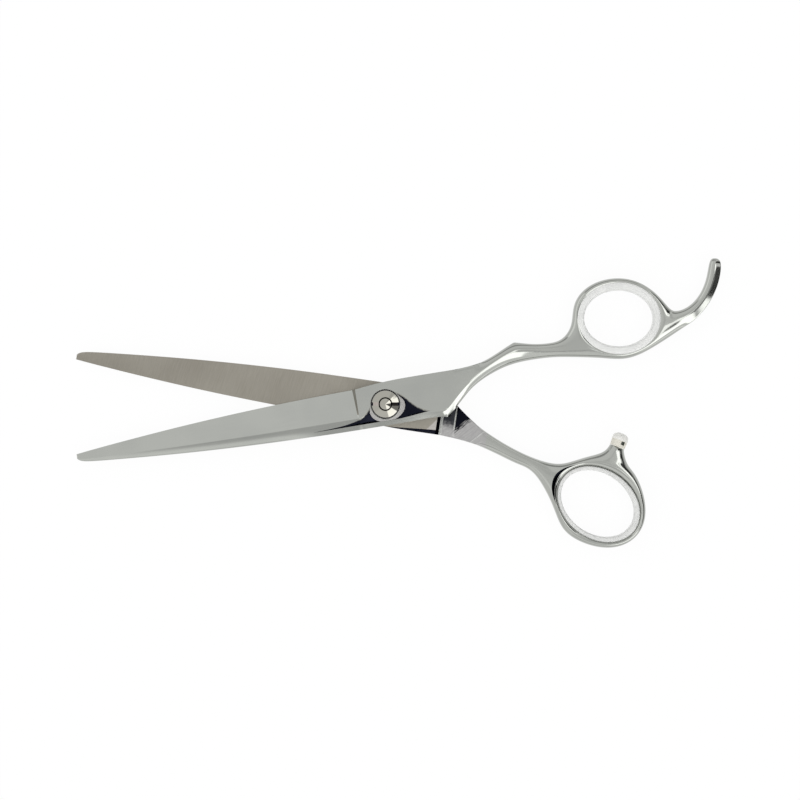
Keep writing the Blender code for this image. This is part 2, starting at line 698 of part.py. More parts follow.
def swept_ring(name, place, opening, hole, profile, steps):
    """A ring between two ellipses. Profile points are (share from opening to hole, outward offset, height).

    place is the opening's centre, how far the hole lies behind it, and the tilt of both.
    """
    (x, y), shift, tilt = place
    bm = bmesh.new()
    loops = []
    for k in range(steps):
        loop = []
        for share, out, height in profile:
            long = lerp(opening[0], hole[0], share) + out
            short = lerp(opening[1], hole[1], share) + out
            centre = (x + shift * share, y)
            loop.append(bm.verts.new((*ring_point(centre, long, short, tilt, 360 * k / steps), height)))
        loops.append(loop)
    for k, a in enumerate(loops):
        b = loops[(k + 1) % steps]
        for side in range(len(profile)):
            following = (side + 1) % len(profile)
            bm.faces.new((a[side], a[following], b[following], b[side]))
    bmesh.ops.recalc_face_normals(bm, faces=bm.faces)
    mesh = bpy.data.meshes.new(name)
    bm.to_mesh(mesh)
    bm.free()
    return mesh


def build_bumper(half):
    place, turn = horn_place()
    seat = empty("bumper_seat", place)
    seat.parent = half
    seat.rotation_mode = "QUATERNION"
    seat.rotation_quaternion = turn
    hole = STUD_RADIUS + FIT
    depth = STUD_IN_BUMPER + FIT
    outline = [(hole, FIT), (BUMPER_FOOT_RADIUS, FIT), (BUMPER_FOOT_RADIUS, BUMPER_HEIGHT * 0.1)]
    shoulder = BUMPER_HEIGHT * 0.6
    for k in range(7):
        a = math.pi / 2 * k / 6
        outline.append((BUMPER_RADIUS * math.cos(a) ** 0.7, shoulder + (BUMPER_HEIGHT - shoulder) * math.sin(a)))
    outline[-1] = (0, BUMPER_HEIGHT)
    outline = [(0, depth), (hole, depth)] + outline
    add_object("bumper", turned("bumper", outline, 24), CLEAR_PLASTIC, seat)
    low = STUD_IN_BUMPER - STUD_LENGTH + FIT
    add_object("bumper_stud", turned("bumper_stud", chamfered_rod(STUD_RADIUS, low, STUD_IN_BUMPER), 16), STEEL, seat)


def chamfered_rod(radius, low, high):
    cut = radius * 0.2
    return ((0, low), (radius - cut, low), (radius, low + cut), (radius, high - cut), (radius - cut, high), (0, high))


def washer(inside, outside, low, thickness, rise=0.0):
    """A ring, coned by rise from its outside up to its inside."""
    return (
        (inside, low + rise),
        (outside, low),
        (outside, low + thickness),
        (inside, low + rise + thickness),
    )


def build_pivot(finger_half, thumb_half, nut_axis):
    bore = JOURNAL_RADIUS + FIT
    floor = NUT_RECESS_FLOOR
    bush = washer(bore, BUSH_RADIUS, INNER + FIT, floor - INNER - 2 * FIT)
    add_object("pivot_bush", turned("pivot_bush", bush), BRONZE, finger_half)
    outside = NUT_RECESS_RADIUS - FIT
    disc = washer(bore, outside, floor + FIT, WASHER_THICKNESS)
    add_object("friction_washer", turned("friction_washer", disc), NYLON, finger_half)
    level = floor + WASHER_THICKNESS + 2 * FIT
    spring = washer(bore, NUT_RADIUS - SPRING_INSET, level, SPRING_THICKNESS, SPRING_RISE)
    add_object("spring_washer", turned("spring_washer", spring), SPRING_STEEL, nut_axis)
    base = level + SPRING_THICKNESS + SPRING_RISE + FIT
    top = base + NUT_THICKNESS
    hole = THREAD_RADIUS + 2 * FIT
    chamfer = NUT_CROWN * 0.5
    face = (
        (hole, base),
        (NUT_RADIUS, base),
        (NUT_RADIUS, top - NUT_CROWN - chamfer),
        (NUT_RADIUS - chamfer, top - NUT_CROWN),
        (hole, top),
    )
    nut = add_object("tension_nut", turned("tension_nut", face), TURNED_STEEL, nut_axis)
    slot = box("slot", (4 * NUT_RADIUS, NUT_SLOT_WIDTH, 2 * NUT_SLOT_DEPTH))
    boolean(nut, "DIFFERENCE", cutter("nut_slot", slot, nut_axis, (0, 0, top)))
    glide_base = -INNER - GLIDE_RECESS + FIT
    glide = washer(bore, GLIDE_RADIUS, glide_base, GLIDE_THICKNESS)
    add_object("glide_washer", turned("glide_washer", glide), NYLON, nut_axis)
    build_bolt(thumb_half, nut_axis, top)


def build_bolt(thumb_half, axis, nut_top):
    back = -MID_PLANE
    head = back + BOLT_HEAD_THICKNESS
    chamfer = BOLT_HEAD_PROUD * 0.5
    thread = NUT_RECESS_FLOOR
    end = nut_top + THREAD_PROUD
    profile = (
        (0, back),
        (BOLT_HEAD_RADIUS - chamfer, back),
        (BOLT_HEAD_RADIUS, back + chamfer),
        (BOLT_HEAD_RADIUS, head),
        (JOURNAL_RADIUS, head),
        (JOURNAL_RADIUS, thread),
        (THREAD_RADIUS, thread + JOURNAL_RADIUS - THREAD_RADIUS),
        (THREAD_RADIUS, end - NUT_CROWN * 0.5),
        (0, end),
    )
    bolt = add_object("pivot_bolt", turned("pivot_bolt", profile), TURNED_STEEL, axis)
    length = BOLT_SQUARE_LENGTH + FIT
    square = box("square", (BOLT_SQUARE, BOLT_SQUARE, length))
    shoulder = cutter("bolt_square", square, axis, (0, 0, head - FIT + length / 2))
    shoulder.rotation_euler = (0, 0, math.radians(FINGER_TURN - OPEN_ANGLE))
    boolean(bolt, "UNION", shoulder)


def main():
    for old in list(bpy.data.objects):
        bpy.data.objects.remove(old)
    finger_half = empty("finger_half", (0, 0, MID_PLANE), (0, 0, math.radians(FINGER_TURN)))
    thumb_turn = math.radians(FINGER_TURN - OPEN_ANGLE)
    thumb_half = empty("thumb_half", (0, 0, MID_PLANE), (math.pi, 0, thumb_turn))
    pivot = empty("pivot_axis", (0, 0, MID_PLANE))
    build_finger_blade(finger_half)
    build_thumb_blade(thumb_half)
    build_bumper(thumb_half)
    build_pivot(finger_half, thumb_half, pivot)


main()
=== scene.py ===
import json
import math

import bmesh
import bpy
from mathutils import Matrix, Vector

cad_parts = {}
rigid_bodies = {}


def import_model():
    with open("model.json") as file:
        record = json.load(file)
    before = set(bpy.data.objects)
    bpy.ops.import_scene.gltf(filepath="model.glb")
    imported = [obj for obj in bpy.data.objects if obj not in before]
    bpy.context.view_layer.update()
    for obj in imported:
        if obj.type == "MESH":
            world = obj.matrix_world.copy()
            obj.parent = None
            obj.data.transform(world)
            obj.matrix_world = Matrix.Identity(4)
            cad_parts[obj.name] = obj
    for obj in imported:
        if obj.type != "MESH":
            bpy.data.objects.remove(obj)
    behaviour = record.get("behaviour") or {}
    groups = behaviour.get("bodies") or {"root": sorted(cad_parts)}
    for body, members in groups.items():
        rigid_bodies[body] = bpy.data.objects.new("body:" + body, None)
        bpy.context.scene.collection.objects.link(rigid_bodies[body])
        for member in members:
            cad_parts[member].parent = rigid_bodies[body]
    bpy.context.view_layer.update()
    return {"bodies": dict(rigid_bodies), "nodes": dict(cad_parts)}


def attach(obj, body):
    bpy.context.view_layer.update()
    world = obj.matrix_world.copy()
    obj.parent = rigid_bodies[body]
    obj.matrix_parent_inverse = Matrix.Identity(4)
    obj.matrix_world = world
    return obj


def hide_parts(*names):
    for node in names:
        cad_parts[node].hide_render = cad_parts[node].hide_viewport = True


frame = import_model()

scene = bpy.context.scene
kept = set(frame["nodes"].values()) | set(frame["bodies"].values())
for stray in [o for o in bpy.data.objects if o not in kept]:
    bpy.data.objects.remove(stray)
print("frame loaded:", len(frame["nodes"]), "nodes")


def mathsMethod(operation, swapped=False):  # an operator that adds one Math node
    def method(self, other):
        return self.graph.maths(operation, *((other, self) if swapped else (self, other)))

    return method


class Wire:  # one output socket, with arithmetic that adds Math nodes
    def __init__(self, graph, socket):
        self.graph = graph
        self.socket = socket

    def of(self, name):
        return Wire(self.graph, self.socket.node.outputs[name])

    def maths(self, operation, *others):
        return self.graph.maths(operation, self, *others)

    __add__, __radd__ = mathsMethod("ADD"), mathsMethod("ADD", True)
    __sub__, __rsub__ = mathsMethod("SUBTRACT"), mathsMethod("SUBTRACT", True)
    __mul__, __rmul__ = mathsMethod("MULTIPLY"), mathsMethod("MULTIPLY", True)
    __truediv__, __rtruediv__ = mathsMethod("DIVIDE"), mathsMethod("DIVIDE", True)
    __pow__, __rpow__ = mathsMethod("POWER"), mathsMethod("POWER", True)


class Graph:  # a node tree that is written as expressions
    def __init__(self, tree, owner=None):
        self.tree = tree
        self.owner = owner

    def put(self, value, socket):  # a link from a wire, or a fixed value
        if isinstance(value, Wire):
            self.tree.links.new(value.socket, socket)
        else:
            socket.default_value = value

    def node(self, kind, settings=None, inputs=None, output=0):
        made = self.tree.nodes.new(kind)
        for name, value in (settings or {}).items():
            setattr(made, name, value)
        for key, value in (inputs or {}).items():
            self.put(value, made.inputs[key])
        return Wire(self, made.outputs[output]) if made.outputs else None

    def maths(self, operation, *values):
        return self.node("ShaderNodeMath", {"operation": operation}, dict(enumerate(values)))

    def blend(self, share, a, b):  # mixes two colours, each a wire or red, green and blue
        a, b = (colour if isinstance(colour, Wire) else (*colour, 1.0) for colour in (a, b))
        settings = {"data_type": "RGBA", "clamp_factor": True}
        return self.node("ShaderNodeMix", settings, {0: share, 6: a, 7: b}, 2)

    def tones(self, look, share, gain=1.0):  # from a look's shade to its colour
        return self.blend(share, *([gain * level for level in look[key]] for key in ("shade", "colour")))

    def span(self, value, low, high, toLow=0.0, toHigh=1.0):
        settings = {"interpolation_type": "SMOOTHSTEP", "clamp": True}
        return self.node("ShaderNodeMapRange", settings, {0: value, 1: low, 2: high, 3: toLow, 4: toHigh})

    def place(self):
        return self.node("ShaderNodeTexCoord", output="Object")

    def millimetres(self):  # X, Y and Z of the place
        scaled = self.node("ShaderNodeVectorMath", {"operation": "SCALE"}, {0: self.place(), "Scale": 1000.0})
        return self.axes(scaled)

    def axes(self, vector):
        parts = self.node("ShaderNodeSeparateXYZ", {}, {0: vector})
        return [parts.of(axis) for axis in "XYZ"]

    def streaks(self, turn, along, across, detail=3.0):  # noise drawn out along a direction
        drawn = {"Rotation": (0, 0, math.radians(turn)), "Scale": (along, across, across)}
        settings, inputs = {"vector_type": "TEXTURE"}, {"Vector": self.place(), **drawn}
        mapped = self.node("ShaderNodeMapping", settings, inputs)
        return self.noise(mapped, 1.0, detail, 0.6)

    def grain(self, size, detail=2.0):
        return self.noise(self.place(), 1 / size, detail, 0.5)

    def noise(self, place, scale, detail, roughness):
        inputs = {"Vector": place, "Scale": scale, "Detail": detail, "Roughness": roughness}
        return self.node("ShaderNodeTexNoise", {}, inputs)

    def shine(self, look, colour, uneven, height=None, sockets=None):  # fills the shader and gives the finish
        values = {"Base Color": colour, "Roughness": look["roughness"] + uneven}
        values.update(sockets or look["sockets"])
        if height is not None:
            strength, distance = look["bump"]
            settings = {"Strength": strength, "Distance": distance, "Height": height}
            values["Normal"] = self.node("ShaderNodeBump", {}, settings)
        shader = self.tree.nodes["Principled BSDF"]
        for name, value in values.items():
            self.put(value, shader.inputs[name])
        return self.owner


def newFinish(name):
    finish = bpy.data.materials.new(name)
    finish.use_nodes = True
    return Graph(finish.node_tree, finish)


def lerp(a, b, share):
    return a + (b - a) * share


def smoothstep(low, high, value):
    t = min(1.0, max(0.0, (value - low) / (high - low)))
    return t * t * (3 - 2 * t)


def pastLine(x, y, point, way):  # how far a place lies past a line
    return (x - point[0]) * way[0] + (y - point[1]) * way[1]


def turnZ(degrees):
    return Matrix.Rotation(math.radians(degrees), 4, "Z")


pose = {"fingerTurn": 9.35, "thumbTurn": -8.35, "midPlane": 3.75}  # degrees, and millimetres above the back
axisPlace = Matrix.Translation((0, 0, pose["midPlane"]))
fingerPlace = axisPlace @ turnZ(pose["fingerTurn"])
thumbPlace = axisPlace @ turnZ(pose["thumbTurn"]) @ Matrix.Rotation(math.pi, 4, "X")
toMetres = Matrix.Scale(0.001, 4)

# finishes; lengths in these looks are metres unless a note says millimetres
metal = {"Metallic": 1.0}
noiseSpan, wideSpan = (0.35, 0.65), (0.3, 0.7)  # where noise mostly lies
lineSpan = (0.45, 0.75)  # the deeper of the drawn-out lines

polish = {
    "colour": (0.415, 0.425, 0.398), "shade": (0.385, 0.395, 0.372), "roughness": 0.085, "uneven": 0.05,
    "cloud": 0.014, "cloudShare": 0.7, "bump": (0.03, 0.00002), "sockets": metal,
    "hairline": (0.02, 0.00012),  # length and width of the buffing lines
}


def polishedSteel(name, turn):
    look, graph = polish, newFinish(name)
    cloud, lines = graph.grain(look["cloud"]), graph.streaks(turn, *look["hairline"])
    tone = graph.span(cloud * look["cloudShare"] + lines * (1 - look["cloudShare"]), *noiseSpan)
    uneven = graph.span(lines, *lineSpan, 0.0, look["uneven"])
    return graph.shine(look, graph.tones(look, tone), uneven, lines)


satin = {
    "colour": (0.315, 0.298, 0.258), "shade": (0.25, 0.234, 0.2), "roughness": 0.36, "uneven": 0.16,
    "brush": (0.006, 0.00009), "detail": 5.0, "brushShare": 0.6, "cloud": 0.02, "brushTurn": 80,
    "bump": (0.12, 0.00003), "sockets": metal,
    "facet": (0.45, 0.43, 0.405),  # painted highlight: the lighter corner where the ride ends, in millimetres
    "facetEdge": (12.69, -6.86), "facetWay": (0.682, -0.731), "facetFade": (-0.05, 0.2),
}


def satinSteel(name, turn, withPaintedHighlight=False):
    look, graph = satin, newFinish(name)
    brush = graph.streaks(turn + look["brushTurn"], *look["brush"], look["detail"])
    cloud = graph.grain(look["cloud"])
    tone = graph.span(brush * look["brushShare"] + cloud * (1 - look["brushShare"]), *noiseSpan)
    colour = graph.tones(look, tone)
    # painted highlight on the corner past the line
    if withPaintedHighlight:
        x, y, _ = graph.millimetres()
        past = pastLine(x, y, look["facetEdge"], look["facetWay"])
        colour = graph.blend(graph.span(past, *look["facetFade"]), colour, look["facet"])
    return graph.shine(look, colour, (brush - 0.5) * look["uneven"], brush)


# painted dark reflection for the ground hollow, also the near-black of the painted shade finish and of the
# ramp's facet
hollow = {
    "colour": (0.0100, 0.0110, 0.0185), "shade": (0.0055, 0.0062, 0.0105), "roughness": 0.22, "uneven": 0.1,
    "wheel": (0.004, 0.00012), "fine": 0.0007, "bump": (0.05, 0.00002), "sockets": metal,
    "edge": (0.30, 0.30, 0.27), "speckleSize": 0.00045,
    "flat": 3.35, "fade": (0.03, 0.24), "speckle": 0.35,  # millimetres: face height, and depths below it
}


def paintedDarkHollow(name, turn, side):  # painted dark reflection: black where it is deep, speckled where it runs out into the flat
    look, graph = hollow, newFinish(name)
    wheel = graph.streaks(turn + 90, *look["wheel"])
    height = graph.millimetres()[2]
    depth = look["flat"] + (pose["midPlane"] - height) * side
    speckle = graph.grain(look["speckleSize"], 4.0)
    thin = 1 - graph.span(depth + (speckle - 0.5) * look["speckle"], *look["fade"])
    colour = graph.blend(thin, graph.tones(look, graph.span(wheel, *wideSpan)), look["edge"])
    return graph.shine(look, colour, (wheel - 0.5) * look["uneven"], wheel)


def paintedShadeFinish(name):  # painted shade and dark reflection: near-black in the recess, round the bolt's end and on the back bevel
    look, graph = hollow, newFinish(name)
    fine = graph.grain(look["fine"], 3.0)
    return graph.shine(look, graph.tones(look, graph.span(fine, *wideSpan)), (fine - 0.5) * look["uneven"])


turnedLook = {
    "colour": (0.385, 0.378, 0.335), "shade": (0.34, 0.333, 0.295), "roughness": 0.035, "uneven": 0.03,
    "pitch": 0.11, "fine": 0.0006, "bump": (0.05, 0.00001), "sockets": metal,  # pitch in millimetres
}


def turnedSteel(name):  # lathe rings about the pivot axis
    look, graph = turnedLook, newFinish(name)
    x, y, _ = graph.millimetres()
    radius = (x * x + y * y).maths("SQRT")
    ring = (radius * (2 * math.pi / look["pitch"])).maths("SINE") * 0.5 + 0.5
    mixed = ring * 0.5 + graph.grain(look["fine"], 3.0) * 0.5
    return graph.shine(look, graph.tones(look, mixed), mixed * look["uneven"], ring)


plainLook = {"bump": (0.1, 0.00002), "uneven": 0.2}


def plainMetal(name, colour, shade, roughness, size, metallic=1.0):
    look, graph = {**plainLook, "colour": colour, "shade": shade, "roughness": roughness}, newFinish(name)
    fine = graph.grain(size, 4.0)
    colour = graph.tones(look, graph.span(fine, *noiseSpan))
    return graph.shine(look, colour, (fine - 0.5) * look["uneven"], fine, {"Metallic": metallic})


rampLook = {
    "colour": (0.415, 0.412, 0.405), "shade": (0.35, 0.345, 0.345), "roughness": 0.1, "uneven": 0.06,
    "lines": (0.004, 0.0003), "lineTurn": 36.6, "lineShare": 0.7, "cloud": 0.0009, "bump": (0.05, 0.00002),
    # relief is the colour of the painted dark reflection, edge the colour of the painted highlights
    "relief": (0.022, 0.024, 0.03), "reliefShadeShare": 0.97, "darkRoughness": 0.15,
    "edge": (0.56, 0.57, 0.545), "edgeShare": 0.8, "highlightMatt": 0.85, "rampHighlight": 0.7,
    # in the half's millimetres: where the painted dark facet runs out, and the creases that carry painted
    # highlights
    "end": (25.15, 1.03), "way": (0.731, 0.682), "ragged": 4.5, "facetFade": (-0.3, 0.6), "soft": 0.12,
    "crease": (20.85, 21.25), "creaseEnd": 4.6, "step": (17.45, 17.7), "reliefFade": (2.0, 5.4),
    "reliefRagged": 2.8, "ramp": (5.2, 5.45),
}


def rampLinesAndPaintedLight(name, turn):  # relief and ramp behind the ride: grinding lines, painted dark reflection on the relief and the facet, painted highlights at the creases, the step and the ramp's end
    r, graph = rampLook, newFinish(name)
    worldX, worldY, _ = graph.millimetres()
    cosine, sine = math.cos(math.radians(turn)), math.sin(math.radians(turn))
    x = worldX * cosine + worldY * sine
    y = worldX * sine - worldY * cosine
    lines = graph.streaks(r["lineTurn"], *r["lines"])
    cloud = graph.grain(r["cloud"], 4.0)

    def beyond(value, limit):  # 1 above the limit
        return graph.span(value, limit, limit + r["soft"])

    def between(value, limits):
        return beyond(value, limits[0]) * (1 - beyond(value, limits[1]))

    past = pastLine(x, y, r["end"], r["way"])
    creased = beyond(x, r["crease"][1])
    # painted dark reflection on the facet and the relief
    facet = (1 - graph.span(past + (lines - 0.5) * r["ragged"], *r["facetFade"])) * creased
    relief = (1 - graph.span(y + (cloud - 0.5) * r["reliefRagged"], *r["reliefFade"])) * (1 - creased)
    # painted highlights along the creases, the step and the ramp's end
    edge = between(x, r["crease"]) * (1 - beyond(y, r["creaseEnd"]))
    edge = edge.maths("MAXIMUM", 1 - graph.span(x, *r["step"]))
    edge = edge.maths("MAXIMUM", between(past, r["ramp"]) * r["rampHighlight"])
    polished = beyond(past, r["ramp"][0])
    tone = graph.span(cloud * (1 - r["lineShare"]) + lines * r["lineShare"], *noiseSpan)
    colour = graph.tones(r, tone * (1 - polished) + polished)
    colour = graph.blend(relief * r["reliefShadeShare"], colour, r["relief"])
    colour = graph.blend(facet, colour, hollow["shade"])
    colour = graph.blend(edge * r["edgeShare"], colour, r["edge"])
    uneven = graph.span(lines, *lineSpan, 0.0, r["uneven"])
    uneven = relief.maths("MAXIMUM", facet) * r["darkRoughness"] + uneven
    return graph.shine(r, colour, uneven, lines, {"Metallic": 1 - edge * r["highlightMatt"]})


silicone = {
    "colour": (0.68, 0.685, 0.67), "shade": (0.63, 0.635, 0.622), "roughness": 0.34, "uneven": 0.15,
    # the finger gain is painted light: the finger insert is made lighter to make up for the shade it sits in
    "cloud": 0.004, "fine": 0.0004, "bump": (0.02, 0.00002), "fingerPaintedLightGain": 1.08,
    "sockets": {"Coat Weight": 0.25, "Coat Roughness": 0.12},
}


def milkySilicone(name, gain=1.0):
    look, graph = silicone, newFinish(name)
    cloud = graph.grain(look["cloud"], 3.0)
    colour = graph.tones(look, graph.span(cloud, *noiseSpan), gain)
    return graph.shine(look, colour, (cloud - 0.5) * look["uneven"], graph.grain(look["fine"]))


nylon = {
    "colour": (0.74, 0.73, 0.69), "shade": (0.62, 0.61, 0.57), "roughness": 0.42, "uneven": 0.2,
    "fine": 0.0005, "bump": (0.08, 0.00003), "sockets": {},
}


def washerFinish(name):
    look, graph = nylon, newFinish(name)
    fine = graph.grain(look["fine"], 3.0)
    return graph.shine(look, graph.tones(look, fine), (fine - 0.5) * look["uneven"], fine)


capLook = {
    "colour": (0.80, 0.795, 0.76), "shade": (0.75, 0.745, 0.71), "roughness": 0.2, "uneven": 0.06,
    "cloud": 0.0016, "sockets": {"Transmission Weight": 0.04, "IOR": 1.42},
}
footLook = {
    **capLook, "colour": (0.76, 0.74, 0.665), "shade": (0.62, 0.60, 0.52), "roughness": 0.1,
    "spot": (0.035, 0.04, 0.032), "spotFade": 0.06,  # millimetres
}


def clearPlastic(name, look, pin=None):
    graph = newFinish(name)
    cloud = graph.grain(look["cloud"], 3.0)
    colour = graph.tones(look, cloud)
    if pin:  # a cross pin's dark end: its middle, the way along the axis and its half width in millimetres
        middle, (alongX, alongY), half = pin
        x, y, _ = graph.millimetres()
        up = pastLine(x, y, middle, (alongX, alongY)).maths("ABSOLUTE")
        side = pastLine(x, y, middle, (alongY, -alongX)).maths("ABSOLUTE")
        fade = look["spotFade"]
        inside = 1 - graph.span(up.maths("MAXIMUM", side), half - fade, half + fade)
        colour = graph.blend(inside, colour, look["spot"])
    return graph.shine(look, colour, (cloud - 0.5) * look["uneven"])


fingerSteel, thumbSteel = (polishedSteel(f"{half}Steel", pose[f"{half}Turn"]) for half in ("finger", "thumb"))
fingerSatin = satinSteel("fingerSatin", pose["fingerTurn"])
thumbSatin = satinSteel("thumbSatin", pose["thumbTurn"], withPaintedHighlight=True)
fingerHollow = paintedDarkHollow("fingerHollow", pose["fingerTurn"], 1)
thumbHollow = paintedDarkHollow("thumbHollow", pose["thumbTurn"], -1)
oxideSteel = paintedShadeFinish("oxideSteel")
rampSteel = rampLinesAndPaintedLight("rampSteel", pose["thumbTurn"])
bossSteel = plainMetal("bossSteel", (0.385, 0.376, 0.365), (0.36, 0.351, 0.34), 0.4, 0.0008, 0.1)
slotSteel = plainMetal("slotSteel", (0.43, 0.39, 0.36), (0.37, 0.335, 0.31), 0.1, 0.0005)
nutSteel, boltSteel = turnedSteel("nutSteel"), turnedSteel("boltSteel")
studSteel = plainMetal("studSteel", (0.05, 0.05, 0.055), (0.03, 0.03, 0.032), 0.3, 0.0004)
springSteel = plainMetal("springSteel", (0.2, 0.2, 0.21), (0.13, 0.13, 0.14), 0.35, 0.0005)
bushBronze = plainMetal("bushBronze", (0.42, 0.28, 0.13), (0.31, 0.2, 0.09), 0.36, 0.0006)
washerNylon = washerFinish("washerNylon")
# painted light: the finger's copy of the silicone is lighter than the thumb's
fingerSilicone = milkySilicone("fingerSilicone", silicone["fingerPaintedLightGain"])
thumbSilicone = milkySilicone("thumbSilicone")
capPlastic = clearPlastic("capPlastic", capLook)
print("finishes made:", len(bpy.data.materials))


# forged halves, each drawn in its own frame in millimetres: pivot at the origin, blade along -X, edge on +Y
bladeForm = {
    "reach": 92.5, "inner": 0.15, "thickness": 3.2, "tipThickness": 1.3, "tipEdge": 0.75, "tipWidth": 2.2,
    "edgeLand": 0.3, "edgeHeight": 5.65, "spineDepth": 6.28, "edgeBelly": 5.5, "spineBelly": 6.7,
    "tipRise": 0.2, "ridgeShare": 0.72, "spineShare": 0.80, "hollow": 0.12, "tipSpineShare": 0.55,
    "stations": (0.012, 0.09, 0.4, 0.75),
}
ricassoForm = {
    "plunge": 8.4, "plungeStep": 0.15, "plungeLean": (0.65, 0.1), "height": 6.75, "ridgeShare": 0.88,
    "rideEnd": 15.8, "heel": 17.4, "heelDepth": 6.7, "relief": 0.8, "spineShare": 0.90, "pastDepth": 0.97,
    "stations": (0.22, 0.52, 0.85), "nearHeight": 0.94, "nearRidge": 0.6,  # shares of the full values
}
handleForm = {
    "half": 2.4, "rampSlant": 0.09, "segments": 12, "levels": 4,
    "ramp": ((0.10, 0.0), (0.21, 0.48), (0.32, 1.0)),  # share along the shank, and of the full thickness
    "ridge": ((0.0, 0.80), (0.2, 0.70), (0.35, 0.45), (0.65, 0.40), (0.95, 0.45)),  # from the upper side
    "bevel": ((0.0, 0.66), (0.2, 0.62), (0.35, 0.85), (0.55, 0.95), (0.9, 0.0)),  # drop along the lower side
    "swell": (0.1, 0.6), "topFade": (0.0, 0.7),
}
creaseForm = {
    "tip": 0.9, "spine": 0.2, "shankSpine": 0.4, "bump": 0.85, "rampEnd": 0.5,
    "tangRidge": 0.5, "tangEdge": 0.6, "fade": (0, 4), "ridgeFade": (1, 7),  # in stations past the heel
}
bladeOuter = bladeForm["inner"] + bladeForm["thickness"]
plungeFoot = ricassoForm["plungeStep"] - ricassoForm["plunge"]
nearHeight = ricassoForm["height"] * ricassoForm["nearHeight"]
nearRidge = lerp(bladeForm["ridgeShare"], ricassoForm["ridgeShare"], ricassoForm["nearRidge"])
rideStations = [lerp(plungeFoot, ricassoForm["rideEnd"], share) for share in ricassoForm["stations"]]
sectionGain, ringGain = 1 / 0.958, 1 / 0.9167  # what subdivision takes off a six- and a four-point section


def evaluatedMesh(holder):
    return bpy.data.meshes.new_from_object(holder.evaluated_get(bpy.context.evaluated_depsgraph_get()))


def linked(name, data):
    made = bpy.data.objects.new(name, data)
    scene.collection.objects.link(made)
    return made


def frozen(holder):  # the evaluated object as a plain mesh, and the holder gone
    made = evaluatedMesh(holder)
    old, name = holder.data, holder.name
    bpy.data.objects.remove(holder)
    bpy.data.meshes.remove(old)
    made.name = name
    return made


class Cage:  # points, faces and creases of a mesh
    def __init__(self):
        self.points = []
        self.faces = []
        self.creases = {}

    def loop(self, points):
        first = len(self.points)
        self.points.extend(Vector(p) for p in points)
        return list(range(first, len(self.points)))

    def bridge(self, a, b):
        for k, following in enumerate((*range(1, len(a)), 0)):
            self.faces.append((a[k], a[following], b[following], b[k]))

    def crease(self, a, b, weight):
        self.creases[frozenset((a, b))] = weight

    def creaseLoop(self, loop, weight):
        for a, b in zip(loop, loop[1:] + loop[:1]):
            self.crease(a, b, weight)

    def plain(self, name):
        bm = bmesh.new()
        verts = [bm.verts.new(p) for p in self.points]
        for face in self.faces:
            bm.faces.new([verts[i] for i in face])
        bm.verts.index_update()
        if self.creases:
            layer = bm.edges.layers.float.new("crease_edge")
            for edge in bm.edges:
                edge[layer] = self.creases.get(frozenset(v.index for v in edge.verts), 0.0)
        bmesh.ops.recalc_face_normals(bm, faces=bm.faces)
        mesh = bpy.data.meshes.new(name)
        bm.to_mesh(mesh)
        bm.free()
        return mesh

    def subdivided(self, name):
        holder = linked(name, self.plain(name))
        modifier = holder.modifiers.new("subdivision", "SUBSURF")
        modifier.levels = modifier.render_levels = handleForm["levels"]
        return frozen(holder)


def section(xUpper, upper, xLower, lower, ridgeShare, inner, outer, innerShare=0.5):
    ridge = (lerp(xUpper, xLower, ridgeShare), lerp(upper, lower, ridgeShare))
    middle = (lerp(xUpper, xLower, innerShare), lerp(upper, lower, innerShare))
    return (
        (xUpper, upper, inner[0]), (xUpper, upper, outer[0]), (*ridge, outer[1]),
        (xLower, lower, outer[2]), (xLower, lower, inner[2]), (*middle, inner[1]),
    )


def curvePoint(start, pull, end, t):
    return (1 - t) ** 2 * start + 2 * t * (1 - t) * pull + t * t * end


def bladeSizes(share):  # x, edge, spine and thickness; share runs from the tip to the plunge
    f, t = bladeForm, 1 - share
    x = lerp(-ricassoForm["plunge"], -f["reach"], t)
    upper = curvePoint(f["edgeHeight"], f["edgeBelly"], f["tipRise"], t)
    lower = curvePoint(-f["spineDepth"], -f["spineBelly"], -f["tipWidth"], t)
    return x, upper, lower, lerp(f["tipThickness"], f["thickness"], share)


def bladeSection(share):
    f, inner = bladeForm, bladeForm["inner"]
    x, upper, lower, thickness = bladeSizes(share)
    if share == 0:
        lower, thickness = -f["tipWidth"] * f["tipSpineShare"], f["tipEdge"]
    outer = (inner + f["edgeLand"], inner + thickness, inner + thickness * f["spineShare"])
    back = ricassoForm["plungeLean"][0] if share == 1 else 0.0
    return section(x - back, upper, x, lower, f["ridgeShare"], (inner, inner + f["hollow"], inner), outer)


def ricassoSection(x, upper, lower, inner, ridgeShare, lean=0.0):
    spine = bladeForm["inner"] + bladeForm["thickness"] * ricassoForm["spineShare"]
    return section(x + lean, upper, x, lower, ridgeShare, (inner,) * 3, (bladeOuter, bladeOuter, spine))


def along(steps, share):  # a value between the stations of a list
    for (a, low), (b, high) in zip(steps, steps[1:]):
        if share <= b:
            return lerp(low, high, max(0.0, (share - a) / (b - a)))
    return steps[-1][1]


